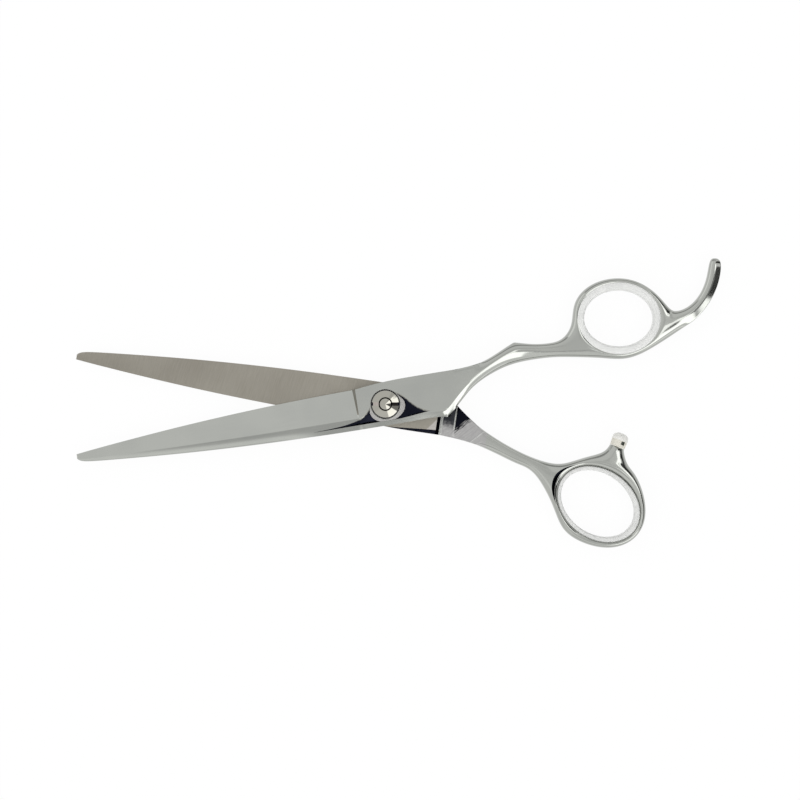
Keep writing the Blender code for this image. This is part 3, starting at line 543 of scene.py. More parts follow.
def halfCage(form):  # blade, flat and shank up to the ring
    b, r, h = bladeForm, ricassoForm, handleForm
    ringLeft = form["centre"][0] - form["hole"][0] - form["band"]
    inner, spine, ridge = b["inner"], -b["spineDepth"], r["ridgeShare"]
    cage = Cage()
    sections = [bladeSection(share) for share in (0.0, *b["stations"], 1.0)]
    plungeEnd = len(sections)
    near, over, past = rideStations
    for station in (
        (plungeFoot, b["edgeHeight"], spine, inner, b["ridgeShare"], r["plungeLean"][1]),
        (near, nearHeight, spine, inner, nearRidge),
        (over, r["height"], spine, inner, ridge),
        (past, r["height"], spine * r["pastDepth"], inner, ridge),
        (r["rideEnd"], r["height"], spine, inner, ridge),
        (r["heel"], r["height"], -r["heelDepth"], inner + r["relief"], ridge),
    ):
        sections.append(ricassoSection(*station))
    firstShank = len(sections)
    for share, upper, lower in form["shank"]:
        x = lerp(r["heel"], ringLeft, share)
        gain = lerp(1.0, sectionGain, smoothstep(*h["swell"], share))
        middle, reach = (upper + lower) / 2, (upper - lower) / 2 * gain
        rises = [along(h["ramp"], share - form["rampDelay"] + h["rampSlant"] * s) for s in (1.0, 0.5, 0.0)]
        heights = [lerp(inner + r["relief"], -h["half"], rise) for rise in rises]
        top = lerp(bladeOuter, h["half"], smoothstep(*h["topFade"], share))
        outer = (top, top, top - along(h["bevel"], share))
        ridgeShare = along(h["ridge"], share)
        sections.append(section(x, middle + reach, x, middle - reach, ridgeShare, heights, outer))
    loops = [cage.loop(points) for points in sections]
    for a, c in zip(loops, loops[1:]):
        cage.bridge(a, c)
    tip = loops[0]
    cage.faces.extend(((tip[0], tip[1], tip[2], tip[5]), (tip[5], tip[2], tip[3], tip[4])))
    creaseBody(cage, loops, plungeEnd, firstShank)
    for bump in form["bumps"]:
        cage.crease(*loops[firstShank + bump][:2], creaseForm["bump"])
    return cage, loops[-1]


def creaseBody(cage, loops, plungeEnd, firstShank):  # sharp lines that fade out up the shank
    c, rideEnd = creaseForm, firstShank - 2
    cage.creaseLoop(loops[0], c["tip"])
    for k, (a, b) in enumerate(zip(loops, loops[1:])):
        fade = 1 - smoothstep(*c["fade"], k - firstShank + 1)
        for line in range(5):
            cage.crease(a[line], b[line], fade)
        if k < plungeEnd - 2:
            cage.crease(a[3], b[3], c["spine"])
        if k >= firstShank:
            cage.crease(a[3], b[3], fade * c["shankSpine"])
        cage.crease(a[2], b[2], 1 - smoothstep(*c["ridgeFade"], k - firstShank + 1))

    def creaseAcross(k, weight, *lines):
        for a, b in lines:
            cage.crease(loops[k][a], loops[k][b], weight)

    for k in (plungeEnd - 1, plungeEnd):
        creaseAcross(k, 1.0, (1, 2), (0, 1))
    for k in (rideEnd, rideEnd + 1, firstShank):
        creaseAcross(k, 1.0, (4, 5), (5, 0))
    creaseAcross(rideEnd + 1, 1.0, (3, 4))
    creaseAcross(firstShank + 2, c["rampEnd"], (4, 5), (5, 0))


def ringPoint(centre, long, short, tilt, angle):
    turn = math.radians(tilt)
    a = math.radians(angle) - turn
    x, y = long * math.cos(a), short * math.sin(a)
    return (
        centre[0] + x * math.cos(turn) - y * math.sin(turn),
        centre[1] + x * math.sin(turn) + y * math.cos(turn),
    )


def ringLoops(cage, form):  # four points for each ring segment
    count = handleForm["segments"]
    centre, band = form["centre"], form["band"]
    holeCentre = (centre[0] + form["shift"], centre[1])
    knot = (4 + 2 * math.cos(2 * math.pi / count)) / 6
    half, height = band / 2 * ringGain, handleForm["half"] * ringGain
    inner, outer = ([(size + band / 2 + off) / knot for size in form["hole"]] for off in (-half, half))
    loops = []
    for k in range(count):
        angle = form["firstAngle"] + 360 * k / count
        inside = ringPoint(holeCentre, *inner, form["tilt"], angle)
        outside = ringPoint(centre, *outer, form["tilt"], angle)
        offX, offY = form["moved"].get(k, (0.0, 0.0))
        outside = (outside[0] + offX, outside[1] + offY)
        top = height - form["dropped"].get(k, 0.0)
        loops.append(cage.loop(((*inside, height), (*outside, top), (*outside, -height), (*inside, -height))))
    return loops


def closeRing(cage, loops, openSegments):
    for k, (a, b) in enumerate(zip(loops, loops[1:] + loops[:1])):
        for side, following in ((0, 1), (1, 2), (2, 3), (3, 0)):
            if side != 1 or k not in openSegments:
                cage.faces.append((a[side], a[following], b[following], b[side]))


def ringRoot(loops, first):  # the loop round two open faces
    run = [loops[(first + k) % len(loops)] for k in range(3)]
    return [run[0][2]] + [r[1] for r in run] + [r[2] for r in reversed(run[1:])]


def turnedRoot(root):
    return [*root[4::-1], root[5]]


def grow(cage, root, stations, outerDrop=0.0, innerDrop=0.0, innerShare=0.5):  # a tang or horn out of a ring
    places = [Vector((x, y)) for x, y, _, _ in stations]
    previous = root
    start = sum((cage.points[i].to_2d() for i in root), Vector((0, 0))) / len(root)
    for k, (_, _, width, half) in enumerate(stations):
        before = places[k - 1] if k else start
        after = places[min(k + 1, len(places) - 1)]
        way = (after - before).normalized()
        across = Vector((-way.y, way.x)) * width / 2 * sectionGain
        thin = half / handleForm["half"]
        inner = (-half + innerDrop * thin, -half, -half)
        outer = (half, half, half - outerDrop * thin)
        loop = cage.loop(section(*(places[k] + across), *(places[k] - across), 0.5, inner, outer, innerShare))
        cage.bridge(previous, loop)
        if k and outerDrop:
            cage.crease(previous[2], loop[2], creaseForm["tangRidge"])
            cage.crease(previous[3], loop[3], creaseForm["tangEdge"])
        previous = loop
    edgeIn, edgeOut, ridge, spineOut, spineIn, middle = previous
    cage.faces.extend(((edgeIn, edgeOut, ridge, middle), (middle, ridge, spineOut, spineIn)))
    return previous


# node trees that sweep a grid: turned pieces and ring inserts
weldGap = 0.0005  # millimetres


def newTree(name, sockets):
    tree = bpy.data.node_groups.new(name, "GeometryNodeTree")
    keys = {}
    for label, kind in sockets:
        socket = tree.interface.new_socket(label, in_out="INPUT", socket_type=f"NodeSocket{kind}")
        keys[label] = socket.identifier
    tree.interface.new_socket("Result", in_out="OUTPUT", socket_type="NodeSocketGeometry")
    graph = Graph(tree)
    return tree, graph, graph.node("NodeGroupInput"), keys


def sweepGrid(graph, columns, rows):  # a grid, and the column and row of each of its points
    grid = graph.node("GeometryNodeMeshGrid", {}, {"Vertices X": columns, "Vertices Y": rows})
    index = graph.node("GeometryNodeInputIndex")
    column = (index / rows).maths("FLOOR")
    return grid, column, index - column * rows


def endTree(graph, grid, place, finish):
    point = graph.node("ShaderNodeCombineXYZ", {}, dict(enumerate(place)))
    swept = graph.node("GeometryNodeSetPosition", {}, {"Geometry": grid, "Position": point})
    welded = graph.node("GeometryNodeMergeByDistance", {}, {"Geometry": swept, "Distance": weldGap})
    whole = graph.node("GeometryNodeRealizeInstances", {}, {"Geometry": welded})
    done = graph.node("GeometryNodeSetMaterial", {}, {"Geometry": whole, "Material": finish})
    graph.node("NodeGroupOutput", {}, {0: done})


def makeTurnedTree():  # a profile of (radius, height) swung round Z
    sockets = (("Profile", "Geometry"), ("Steps", "Int"), ("Finish", "Material"))
    tree, graph, given, keys = newTree("turnedPart", sockets)
    profile, steps, finish = (given.of(label) for label, _ in sockets)
    count = graph.node("GeometryNodeAttributeDomainSize", {"component": "MESH"}, {"Geometry": profile})
    grid, column, row = sweepGrid(graph, count, steps + 1.0)
    angle = row * (2 * math.pi) / steps
    values = {"Geometry": profile, "Value": graph.node("GeometryNodeInputPosition"), "Index": column}
    settings = {"data_type": "FLOAT_VECTOR", "domain": "POINT"}
    radius, _, height = graph.axes(graph.node("GeometryNodeSampleIndex", settings, values))
    endTree(graph, grid, (radius * angle.maths("COSINE"), radius * angle.maths("SINE"), height), finish)
    return tree, keys


turnedTree = makeTurnedTree()


def runTree(name, mesh, treeAndKeys, values):
    tree, keys = treeAndKeys
    holder = linked(name, mesh)
    modifier = holder.modifiers.new(tree.name, "NODES")
    modifier.node_group = tree
    for label, value in values.items():
        modifier[keys[label]] = value
    made = frozen(holder)
    bm = bmesh.new()
    bm.from_mesh(made)
    bmesh.ops.recalc_face_normals(bm, faces=bm.faces)
    bm.to_mesh(made)
    bm.free()
    return made


satinAt, paintedHollowAt, bossAt, paintedShadeAt, rampAt = range(1, 6)  # places in a forging's list of finishes


def newPiece(name, mesh, finishes):
    mesh.materials.clear()
    for finish in finishes:
        mesh.materials.append(finish)
    return linked(name, mesh)


def turned(name, profile, finishes, steps=96):
    line = bpy.data.meshes.new(name)
    points = [(r, 0, z) for r, z in profile]
    line.from_pydata(points, [(k, k + 1) for k in range(len(points) - 1)], [])
    return newPiece(name, runTree(name, line, turnedTree, {"Steps": steps, "Finish": finishes[0]}), finishes)


def marked(piece, index, test=lambda face: True):  # gives faces one of the piece's finishes
    for face in piece.data.polygons:
        if test(face):
            face.material_index = index
    return piece


def bridgedTool(name, rows, finishes, index):  # a cutter through rows of points, closed at both ends
    cage = Cage()
    loops = [cage.loop(row) for row in rows]
    for a, b in zip(loops, loops[1:]):
        cage.bridge(a, b)
    cage.faces.extend((loops[0], loops[-1]))
    return marked(newPiece(name, cage.plain(name), finishes), index)


def rod(name, radius, low, high, finishes):
    return turned(name, ((0, low), (radius, low), (radius, high), (0, high)), finishes)


def cutWith(piece, tools):  # Booleans in turn, then a plain mesh again
    for other in tools:
        modifier = piece.modifiers.new(other.name, "BOOLEAN")
        modifier.operation = "DIFFERENCE"
        modifier.solver = "MANIFOLD"
        modifier.material_mode = "INDEX"
        modifier.object = other
    bpy.context.view_layer.update()
    made = evaluatedMesh(piece)
    piece.modifiers.clear()
    old, piece.data = piece.data, made
    bpy.data.meshes.remove(old)
    for other in tools:
        spare = other.data
        bpy.data.objects.remove(other)
        bpy.data.meshes.remove(spare)


def settle(piece, place, sharp, body, nodes):
    piece.data.transform(toMetres @ place)
    piece.data.shade_smooth()
    piece.data.set_sharp_from_angle(angle=math.radians(sharp))
    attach(piece, body)
    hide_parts(*nodes)
    return piece


forgingSharp = 14  # degrees between faces that show an edge

# the hollow ground beside the pivot seat
scoopForm = {
    "line": 4.9, "rise": 8.2, "bladeLength": 5.1, "bladePower": 2.8, "heelLength": 7.75, "heelPower": 4.0,
    "slope": 0.36, "depth": 1.3, "from": -27.0, "to": 17.5, "fadeIn": 7, "fadeOut": 6, "miss": 0.03,
    "lift": 0.095, "liftFrom": 4, "upper": 4.6, "clear": 6, "columns": 180, "rows": 14,
}


def outerHeight(x, y):  # the forging's outer face before the hollow is ground
    b, r = bladeForm, ricassoForm
    if x < -r["plunge"]:
        _, upper, lower, thickness = bladeSizes((x + b["reach"]) / (b["reach"] - r["plunge"]))
        ridgeShare, spineShare = b["ridgeShare"], b["spineShare"]
    else:
        near, over, _ = rideStations
        first, second = smoothstep(plungeFoot, near, x), smoothstep(near, over, x)
        ridgeShare = lerp(lerp(b["ridgeShare"], nearRidge, first), r["ridgeShare"], second)
        upper = lerp(lerp(b["edgeHeight"], nearHeight, first), r["height"], second)
        lower, thickness = -b["spineDepth"], b["thickness"]
        spineShare = lerp(b["spineShare"], r["spineShare"], smoothstep(-r["plunge"], plungeFoot, x))
    ridge = lerp(upper, lower, ridgeShare)
    fall = max(0.0, (ridge - y) / (ridge - lower))
    return b["inner"] + thickness * lerp(1.0, spineShare, fall)


def scoopFloor(x, y):
    s, side = scoopForm, "blade" if x < 0 else "heel"
    start = smoothstep(s["from"], s["from"] + s["fadeIn"], x)
    fade = start * (1 - smoothstep(s["to"] - s["fadeOut"], s["to"], x))
    reach = (abs(x) / s[f"{side}Length"]) ** s[f"{side}Power"]
    below = s["rise"] / (1 + reach) * fade - s["miss"] * (1 - fade) - s["line"] - y
    return outerHeight(x, y) - s["depth"] * math.tanh(s["slope"] * below / s["depth"])


def scoopTool(finishes):
    s = scoopForm
    rows = []
    for column in range(s["columns"] + 1):
        x = lerp(s["from"], s["to"], column / s["columns"])
        foot = s["lift"] * max(0.0, x - s["liftFrom"]) - s["line"]  # the face below widens towards the heel
        levels = [lerp(foot, s["upper"], row / s["rows"]) for row in range(s["rows"] + 1)]
        floor = [(x, y, scoopFloor(x, y)) for y in levels]
        rows.append(floor + [(x, y, bladeOuter + s["clear"]) for y in reversed(levels)])
    # the hollow's floor carries the painted dark reflection
    return bridgedTool("scoop", rows, finishes, paintedHollowAt)


seatForm = {  # the oval boss left standing in the hollow, and the recess in it
    "wall": 0.12, "reach": (0.78, -0.62), "off": (0.4, -1.3), "lean": 0.08, "drop": 0.25, "foot": 1.5,
    "top": 8, "lipDepth": (0.7, 0.6), "boreFrom": -4,
}


def seatTools(recessRadius, lipRadius, recessFloor, boreRadius, finishes):
    s = seatForm
    rim, top = lipRadius + s["wall"], bladeOuter + s["top"]
    low, edge, wide = bladeOuter - s["foot"], bladeOuter - s["drop"], rim + s["reach"][0]
    outline = ((0, low), (wide, low), (wide, edge), (rim, bladeOuter), (rim, top), (0, top))
    seat = turned("seat", outline, finishes)
    for vertex in seat.data.vertices:
        if vertex.co.z < (edge + bladeOuter) / 2:
            x, y = vertex.co.x + s["off"][0], vertex.co.y * (rim + s["reach"][1]) / wide + s["off"][1]
            vertex.co.xy = x, y + s["lean"] * x
    scoop = scoopTool(finishes)
    cutWith(scoop, [marked(seat, bossAt)])
    lipLow, lipHigh = (bladeOuter - depth for depth in s["lipDepth"])
    outline = ((0, recessFloor), (recessRadius, recessFloor), (recessRadius, lipLow))
    outline += ((lipRadius, lipHigh), (lipRadius, top), (0, top))
    # the recess round the nut gets painted shade
    recess = marked(turned("recess", outline, finishes), paintedShadeAt)
    return [scoop, recess, rod("bore", boreRadius, s["boreFrom"], bladeOuter, finishes)]


innerMarks = {  # how far a face's normal leans, and where it lies
    "flat": -0.9, "flatDepth": 0.3, "wall": -0.6, "wallFrom": -10, "wallTo": -7, "ramp": -0.4, "bevel": 1.0,
}


def markInner(mesh, rampEnd=0.0):  # satin on the ground inner face and the plunge's wall, then the ramp, with painted shade on the bevel where the ride ends
    m, rideEnd = innerMarks, ricassoForm["rideEnd"]
    for face in mesh.polygons:
        (x, _, z), normal = face.center, face.normal
        ground = normal.z < m["flat"] and x < rideEnd and z < bladeForm["inner"] + m["flatDepth"]
        if ground or normal.x < m["wall"] and m["wallFrom"] < x < m["wallTo"]:
            face.material_index = satinAt
        if normal.z < m["ramp"] and rideEnd < x < rampEnd:
            # painted shade on the bevel where the ride ends, the ramp's finish past it
            face.material_index = paintedShadeAt if x < rideEnd + m["bevel"] else rampAt


# finger half
fingerForm = {
    "centre": (72.1, 13.8), "hole": (11.4, 9.7), "band": 2.2, "tilt": -9.35, "firstAngle": 0.0, "shift": 0.0,
    "moved": {0: (1.2, 0.8), 4: (-0.3, 0.3), 5: (-0.3, 0.3), 6: (0.6, 0.0), 9: (0.0, -0.2)},
    "shank": (
        (0.09, 6.7, -3.9), (0.20, 6.9, 0.6), (0.32, 7.6, 3.1), (0.45, 9.9, 5.0),
        (0.56, 12.0, 5.8), (0.68, 10.4, 5.9), (0.81, 9.8, 5.7), (0.91, 10.1, 5.1),
    ),
    "bumps": (4,), "rampDelay": 0.10, "shankRoot": 6, "endRoot": 10,  # roots: ring segments they grow from
    "tang": (  # past the ring's far end, beside its centre line, width, half thickness
        (4.2, -3.3, 5.2, 2.4), (8.2, -2.0, 4.0, 2.3), (12.5, 1.4, 3.5, 2.1), (15.7, 6.3, 3.6, 2.0),
        (17.2, 11.2, 3.6, 1.9), (17.5, 13.0, 2.1, 1.3),
    ),
    "tangBevel": 0.65, "dropped": {10: 0.6, 9: 0.4, 8: 0.15},  # drop along the lower side of tang and ring
    "opening": (10.2, 8.25), "lip": 0.82, "insertHeight": 2.6,
}
pivotForm = {
    "fit": 0.05, "seatRadius": 4.6, "lipRadius": 4.40, "runningGap": 0.15, "journal": 2.1, "bushWall": 0.6,
    "nutRadius": 4.14, "nutThickness": 1.4, "nutCrown": 0.645, "nutProud": 0.4, "nutHole": (0.05, 0.06),
    "nutRim": ((0.0, -0.12), (-0.04, -0.03), (-0.16, 0.0)),  # out from the radius and up from the edge
    "slotWidth": 1.0, "slotTop": 0.55, "slotFall": 0.404, "slotNotch": 3.62, "slotFloor": 0.3, "slotClear": 3,
    "threadProud": 0.2, "threadRadius": 1.9, "threadStart": 0.2, "threadEnd": (0.85, 0.4), "threadTip": 0.27,
    "washer": 0.35, "spring": 0.25, "springRise": 0.2, "headRadius": 4.7, "headThickness": 1.0,
    "headRim": ((-0.35, 0.0), (-0.1, 0.06), (0.0, 0.25)), "centreMark": 0.05,
    "glideRadius": 5.5, "glideRecess": 0.5, "steps": 144,
}
stack = pivotForm["washer"] + pivotForm["spring"] + pivotForm["springRise"] + 3 * pivotForm["fit"]
nutTop = bladeOuter + pivotForm["nutProud"]
nutFloor = nutTop - pivotForm["nutThickness"] - stack


def ringedCage(form):  # a half with its ring, and the root of its tang or horn
    cage, end = halfCage(form)
    ring = ringLoops(cage, form)
    roots = (form["shankRoot"], form["endRoot"])
    closeRing(cage, ring, [root + k for root in roots for k in (0, 1)])
    cage.bridge(end, ringRoot(ring, roots[0]))
    return cage, turnedRoot(ringRoot(ring, roots[1]))


def makeFingerHalf():
    f, p = fingerForm, pivotForm
    cage, root = ringedCage(f)
    far = f["centre"][0] + f["hole"][0] + f["band"]
    stations = [(far + x, f["centre"][1] + y, width, half) for x, y, width, half in f["tang"]]
    grow(cage, root, stations, outerDrop=f["tangBevel"])
    finishes = (fingerSteel, fingerSatin, fingerHollow, bossSteel, oxideSteel)
    piece = newPiece("fingerForging", cage.subdivided("fingerForging"), finishes)
    markInner(piece.data)
    bore = p["journal"] + p["bushWall"] + 2 * p["fit"]
    cutWith(piece, seatTools(p["seatRadius"], p["lipRadius"], nutFloor, bore, finishes))
    return settle(piece, fingerPlace, forgingSharp, "finger_half", ["finger_blade"])


# thumb half
thumbForm = {
    "centre": (66.3, 20.0), "hole": (12.9, 9.9), "band": 2.1, "tilt": 27.2, "firstAngle": -20.0, "shift": 0.3,
    "moved": {0: (0.3, 0.0), 5: (-0.7, 0.6), 6: (1.2, -0.6), 11: (1.7, -0.9)}, "dropped": {},
    "shank": (
        (0.10, 7.0, -2.9), (0.21, 7.3, 0.1), (0.35, 8.2, 3.2),
        (0.54, 10.1, 6.2), (0.70, 12.0, 8.2), (0.86, 12.8, 9.7),
    ),
    "bumps": (), "rampDelay": 0.0, "shankRoot": 6, "endRoot": 9,
    "horn": (  # beside the ring's centre line, past its near side, width, half thickness
        (3.0, 1.5, 8.6, 2.4), (3.05, 4.2, 5.0, 2.2), (3.33, 5.4, 4.4, 1.7),
    ),
    "hornBevel": 0.9, "hornRidge": 0.38, "rampEnd": 31.0,
    "opening": (11.7, 8.8), "lip": 0.03, "insertHeight": 2.0,
}


def hornStations():
    t = thumbForm
    near = t["centre"][1] - t["hole"][1] - t["band"]
    return [(t["centre"][0] + x, near - y, width, half) for x, y, width, half in t["horn"]]


chamferForm = {
    "from": 0.5, "past": 0.02, "width": 1.3, "drop": 0.75, "power": 0.8, "least": 0.01, "steps": 8,
    "edgeShare": 0.975, "edgeReach": 4.5, "over": 0.4, "out": 1.5, "under": 2,
}


def chamferTool(finishes):  # the bevel that widens along the inner face's upper edge
    t, height, inner = chamferForm, ricassoForm["height"], bladeForm["inner"]
    slope, out = t["drop"] / t["width"], height + t["out"]
    rows = []
    for k in range(t["steps"] + 1):
        share = k / t["steps"]
        x = lerp(t["from"], ricassoForm["rideEnd"] + t["past"], share)
        width = t["width"] * share ** t["power"] + t["least"]
        start = height * lerp(t["edgeShare"], 1.0, min(1.0, max(0.0, x / t["edgeReach"]))) - width
        low, under = start - t["over"], inner - t["under"]
        high = inner + (out - start) * slope
        corners = ((low, inner - t["over"] * slope), (out, high), (out, under), (low, under))
        rows.append([(x, y, z) for y, z in corners])
    # the bevel's faces get painted dark reflection
    return bridgedTool("chamfer", rows, finishes, paintedShadeAt)


facetForm = {"corner": (21.2, 5.2, -0.30), "rise": (-0.335, -0.173), "span": (9, -12, 4), "foot": -9}


def facetTool(finishes):  # the plane that ends the relief behind the ride, where the handle begins
    t = facetForm
    (x, y, z), (riseX, riseY), (wide, low, high) = t["corner"], t["rise"], t["span"]
    corners = ((0, low), (wide, low), (wide, high), (0, high))
    plane = [(x + dx, y + dy, z + dx * riseX + dy * riseY) for dx, dy in corners]
    return bridgedTool("facet", (plane, [(px, py, t["foot"]) for px, py, _ in plane]), finishes, rampAt)


crescentForm = {
    "angles": (117, 214), "in": (0.8, 1.55), "out": (0.95, 2.85), "steps": 32, "power": 1.6,
    "top": -2.66, "fall": 0.5, "foot": -5,
}


def crescentTool(finishes):  # the hollow that runs round the near end of the thumb ring
    t, form = crescentForm, thumbForm
    centre = (form["centre"][0] + form["shift"], form["centre"][1])
    rows = []
    for k in range(t["steps"] + 1):
        share = k / t["steps"]
        swell = math.sin(math.pi * share ** t["power"])
        angle = lerp(*t["angles"], share) + form["tilt"]
        out, into = lerp(*t["out"], swell), lerp(*t["in"], swell)
        long, short = form["hole"]
        far, near = (ringPoint(centre, long + o, short + o, form["tilt"], angle) for o in (out, into))
        top, foot = t["top"], t["foot"]
        floor = top + (out - into) * t["fall"]
        rows.append([(*far, top), (*near, floor), (*near, foot), (*far, foot)])
    # the crescent's faces get painted dark reflection
    return bridgedTool("crescent", rows, finishes, paintedShadeAt)


def makeThumbHalf():
    t, p = thumbForm, pivotForm
    cage, root = ringedCage(t)
    hornEnd = grow(cage, root, hornStations(), innerDrop=t["hornBevel"], innerShare=t["hornRidge"])
    cage.creaseLoop(hornEnd, 1.0)
    finishes = (thumbSteel, thumbSatin, thumbHollow, bossSteel, oxideSteel, rampSteel)
    piece = newPiece("thumbForging", cage.subdivided("thumbForging"), finishes)
    markInner(piece.data, t["rampEnd"])
    seat = p["headRadius"] + p["runningGap"]
    headFloor = pose["midPlane"] - p["headThickness"] - p["fit"]
    tools = seatTools(seat, seat, headFloor, p["journal"] + p["fit"], finishes)
    tools += [make(finishes) for make in (chamferTool, facetTool, crescentTool)]
    glideTop = bladeForm["inner"] + p["glideRecess"]
    tools.append(rod("glide", p["glideRadius"] + p["fit"], seatForm["boreFrom"], glideTop, finishes))
    cutWith(piece, tools)
    return settle(piece, thumbPlace, forgingSharp, "thumb_half", ["thumb_blade"])


fingerForging = makeFingerHalf()
print("finger half:", len(fingerForging.data.polygons), "faces")
thumbForging = makeThumbHalf()
print("thumb half:", len(thumbForging.data.polygons), "faces")


# ring inserts, a rounded section swept round an ellipse
insertForm = {"square": 0.5, "around": 160, "profile": 48, "sharp": 60, "spread": 0.35}  # lip over the ring


def makeInsertTree():
    sizes = ("Opening Long", "Opening Short", "Outer Long", "Outer Short", "Height", "Shift", "Square")
    sockets = (
        ("Seed Mesh", "Geometry"), *((label, "Float") for label in sizes),
        ("Around", "Int"), ("Profile", "Int"), ("Finish", "Material"),
    )
    tree, graph, given, keys = newTree("sweptInsert", sockets)
    openLong, openShort, outLong, outShort, height, shift, square = (given.of(label) for label in sizes)
    around, profile = given.of("Around"), given.of("Profile")
    grid, column, row = sweepGrid(graph, around + 1.0, profile + 1.0)
    angle = column * (2 * math.pi) / around
    turn = row * (2 * math.pi) / profile

    def squared(value):  # a circle's cosine or sine drawn out towards a square
        return value.maths("SIGN") * value.maths("ABSOLUTE") ** square

    share = squared(turn.maths("COSINE")) * 0.5 + 0.5
    long = openLong + (outLong - openLong) * share
    short = openShort + (outShort - openShort) * share
    place = (
        long * angle.maths("COSINE") + shift * share,
        short * angle.maths("SINE"),
        height * squared(turn.maths("SINE")),
    )
    endTree(graph, grid, place, given.of("Finish"))
    return tree, keys


insertTree = makeInsertTree()


def makeInsert(name, form, place, body, node, finish):
    s = insertForm
    (openLong, openShort), spread = form["opening"], form["lip"] + s["spread"]
    values = {
        "Opening Long": openLong, "Opening Short": openShort,
        "Outer Long": form["hole"][0] + spread, "Outer Short": form["hole"][1] + spread,
        "Height": form["insertHeight"], "Shift": form["shift"], "Square": s["square"],
        "Around": s["around"], "Profile": s["profile"], "Finish": finish,
    }
    mesh = runTree(name, bpy.data.meshes.new(name), insertTree, values)
    mesh.transform(Matrix.Translation((*form["centre"], 0)) @ turnZ(form["tilt"]))
    return settle(newPiece(name, mesh, (finish,)), place, s["sharp"], body, [node])


fingerInsert = makeInsert(
    "fingerInsert", fingerForm, fingerPlace, "finger_half", "finger_insert", fingerSilicone
)
thumbInsert = makeInsert("thumbInsert", thumbForm, thumbPlace, "thumb_half", "thumb_insert", thumbSilicone)
print("inserts:", len(fingerInsert.data.polygons), "and", len(thumbInsert.data.polygons), "faces")

# tension nut and pivot bolt
slotAt, nutPaintedShadeAt = 1, 2  # places in the nut's list of finishes
turnedSharp = 10


def slotTool(base, top, finishes):  # a slot with a roof-shaped floor, open through the rim at both ends
    p = pivotForm
    reach, half, notch = 2 * p["nutRadius"], p["slotWidth"] / 2, p["slotNotch"]
    ridge, floor = top + p["slotTop"], base + p["slotFloor"]
    outline = [(-reach, top + p["slotClear"]), (-reach, floor), (-notch, floor)]
    outline += [(-notch, ridge - p["slotFall"] * notch), (0, ridge)]
    outline += [(-x, z) for x, z in outline[-2::-1]]
    made = bridgedTool("slot", [[(x, y, z) for x, z in outline] for y in (-half, half)], finishes, slotAt)
    return marked(made, nutPaintedShadeAt, lambda face: abs(face.center.x) > notch - p["fit"])  # painted shade in the rim


def makeNut():
    p = pivotForm
    base, hole = nutTop - p["nutThickness"], p["threadRadius"] + 2 * p["fit"]
    radius, edge = p["nutRadius"], nutTop - p["nutCrown"]
    rim = [(radius + x, edge + z) for x, z in p["nutRim"]]
    bore = (hole + p["nutHole"][0], nutTop), (hole, nutTop - p["nutHole"][1])
    profile = ((hole, base), (radius, base), *rim, *bore, (hole, base))
    finishes = (nutSteel, slotSteel, oxideSteel)
    piece = turned("tensionNut", profile, finishes, p["steps"])
    # painted shade on the nut's outer rim, where it meets the recess
    marked(piece, nutPaintedShadeAt, lambda face: face.center.xy.length > rim[-1][0])
    cutWith(piece, [slotTool(base, nutTop, finishes)])
    return settle(piece, axisPlace, turnedSharp, "tension_adjuster", ["tension_nut"])


def makeBolt():
    p = pivotForm
    back, end = -pose["midPlane"], nutTop + p["threadProud"]
    head, ring = back + p["headThickness"], p["threadRadius"] - p["threadTip"]
    radius, thread, journal = p["headRadius"], p["threadRadius"], p["journal"]
    chamferLow, chamferHigh = (end - depth for depth in p["threadEnd"])
    profile = (
        (0, back), *((radius + x, back + z) for x, z in p["headRim"]), (radius, head), (journal, head),
        (journal, nutFloor), (thread, nutFloor + p["threadStart"]), (thread, chamferLow), (ring, chamferHigh),
        (p["centreMark"], end), (0, end),
    )
    piece = turned("pivotBolt", profile, (boltSteel, oxideSteel), p["steps"])
    marked(piece, 1, lambda face: face.center.z > chamferLow and face.center.xy.length > ring)  # painted shade on the chamfer
    return settle(piece, axisPlace, turnedSharp, "thumb_half", ["pivot_bolt"])


tensionNut = makeNut()
pivotBolt = makeBolt()
print("pivot: nut", len(tensionNut.data.polygons), "bolt", len(pivotBolt.data.polygons), "faces")

# bumper on the horn
bumperForm = {
    "height": 4.3, "radius": 2.42, "foot": 2.3, "footShare": 0.5, "pin": 0.4, "crossPin": (1.5, 1.0, 0.53),
    "round": 0.1, "straight": 0.1, "shoulder": 0.6, "swell": 0.7, "domePower": 0.7, "domeSteps": 12,
    "steps": 72, "sharp": 35,
    "stud": 0.9, "studLength": 5.4, "studIn": 2.6, "studCut": 0.2, "studSteps": 48, "studSharp": 30,
}


def hornPlace():
    before, end = (Vector((x, y, 0)) for x, y, _, _ in hornStations()[-2:])
    return Matrix.Translation(end) @ (end - before).to_track_quat("Z", "Y").to_matrix().to_4x4()


def makeCap(place):
    b, fit = bumperForm, pivotForm["fit"]
    hole, depth = b["pin"] + fit, b["studIn"] + fit
    height, radius, foot, small = b["height"], b["radius"], b["foot"], b["round"]
    shoulder, seam = height * b["shoulder"], height * b["footShare"]
    profile = [(0, depth), (hole, depth), (hole, fit), (foot - small, fit), (foot, fit + small)]
    profile += [(foot, height * b["straight"]), (lerp(foot, radius, b["swell"]), seam)]
    for k in range(b["domeSteps"]):
        a = math.pi / 2 * k / b["domeSteps"]
        profile.append((radius * math.cos(a) ** b["domePower"], shoulder + (height - shoulder) * math.sin(a)))
    profile.append((0, height))
    axis, (up, aside, half) = place.to_3x3() @ Vector((0, 0, 1)), b["crossPin"]
    middle = place.translation + axis * up + Vector((axis.y, -axis.x, 0)) * aside
    footPlastic = clearPlastic("footPlastic", footLook, (middle.to_2d(), axis.to_2d(), half))
    cap = turned("bumperCap", profile, (capPlastic, footPlastic), b["steps"])
    marked(cap, 1, lambda face: face.center.z < seam)
    return settle(cap, place, b["sharp"], "thumb_half", ["bumper"])


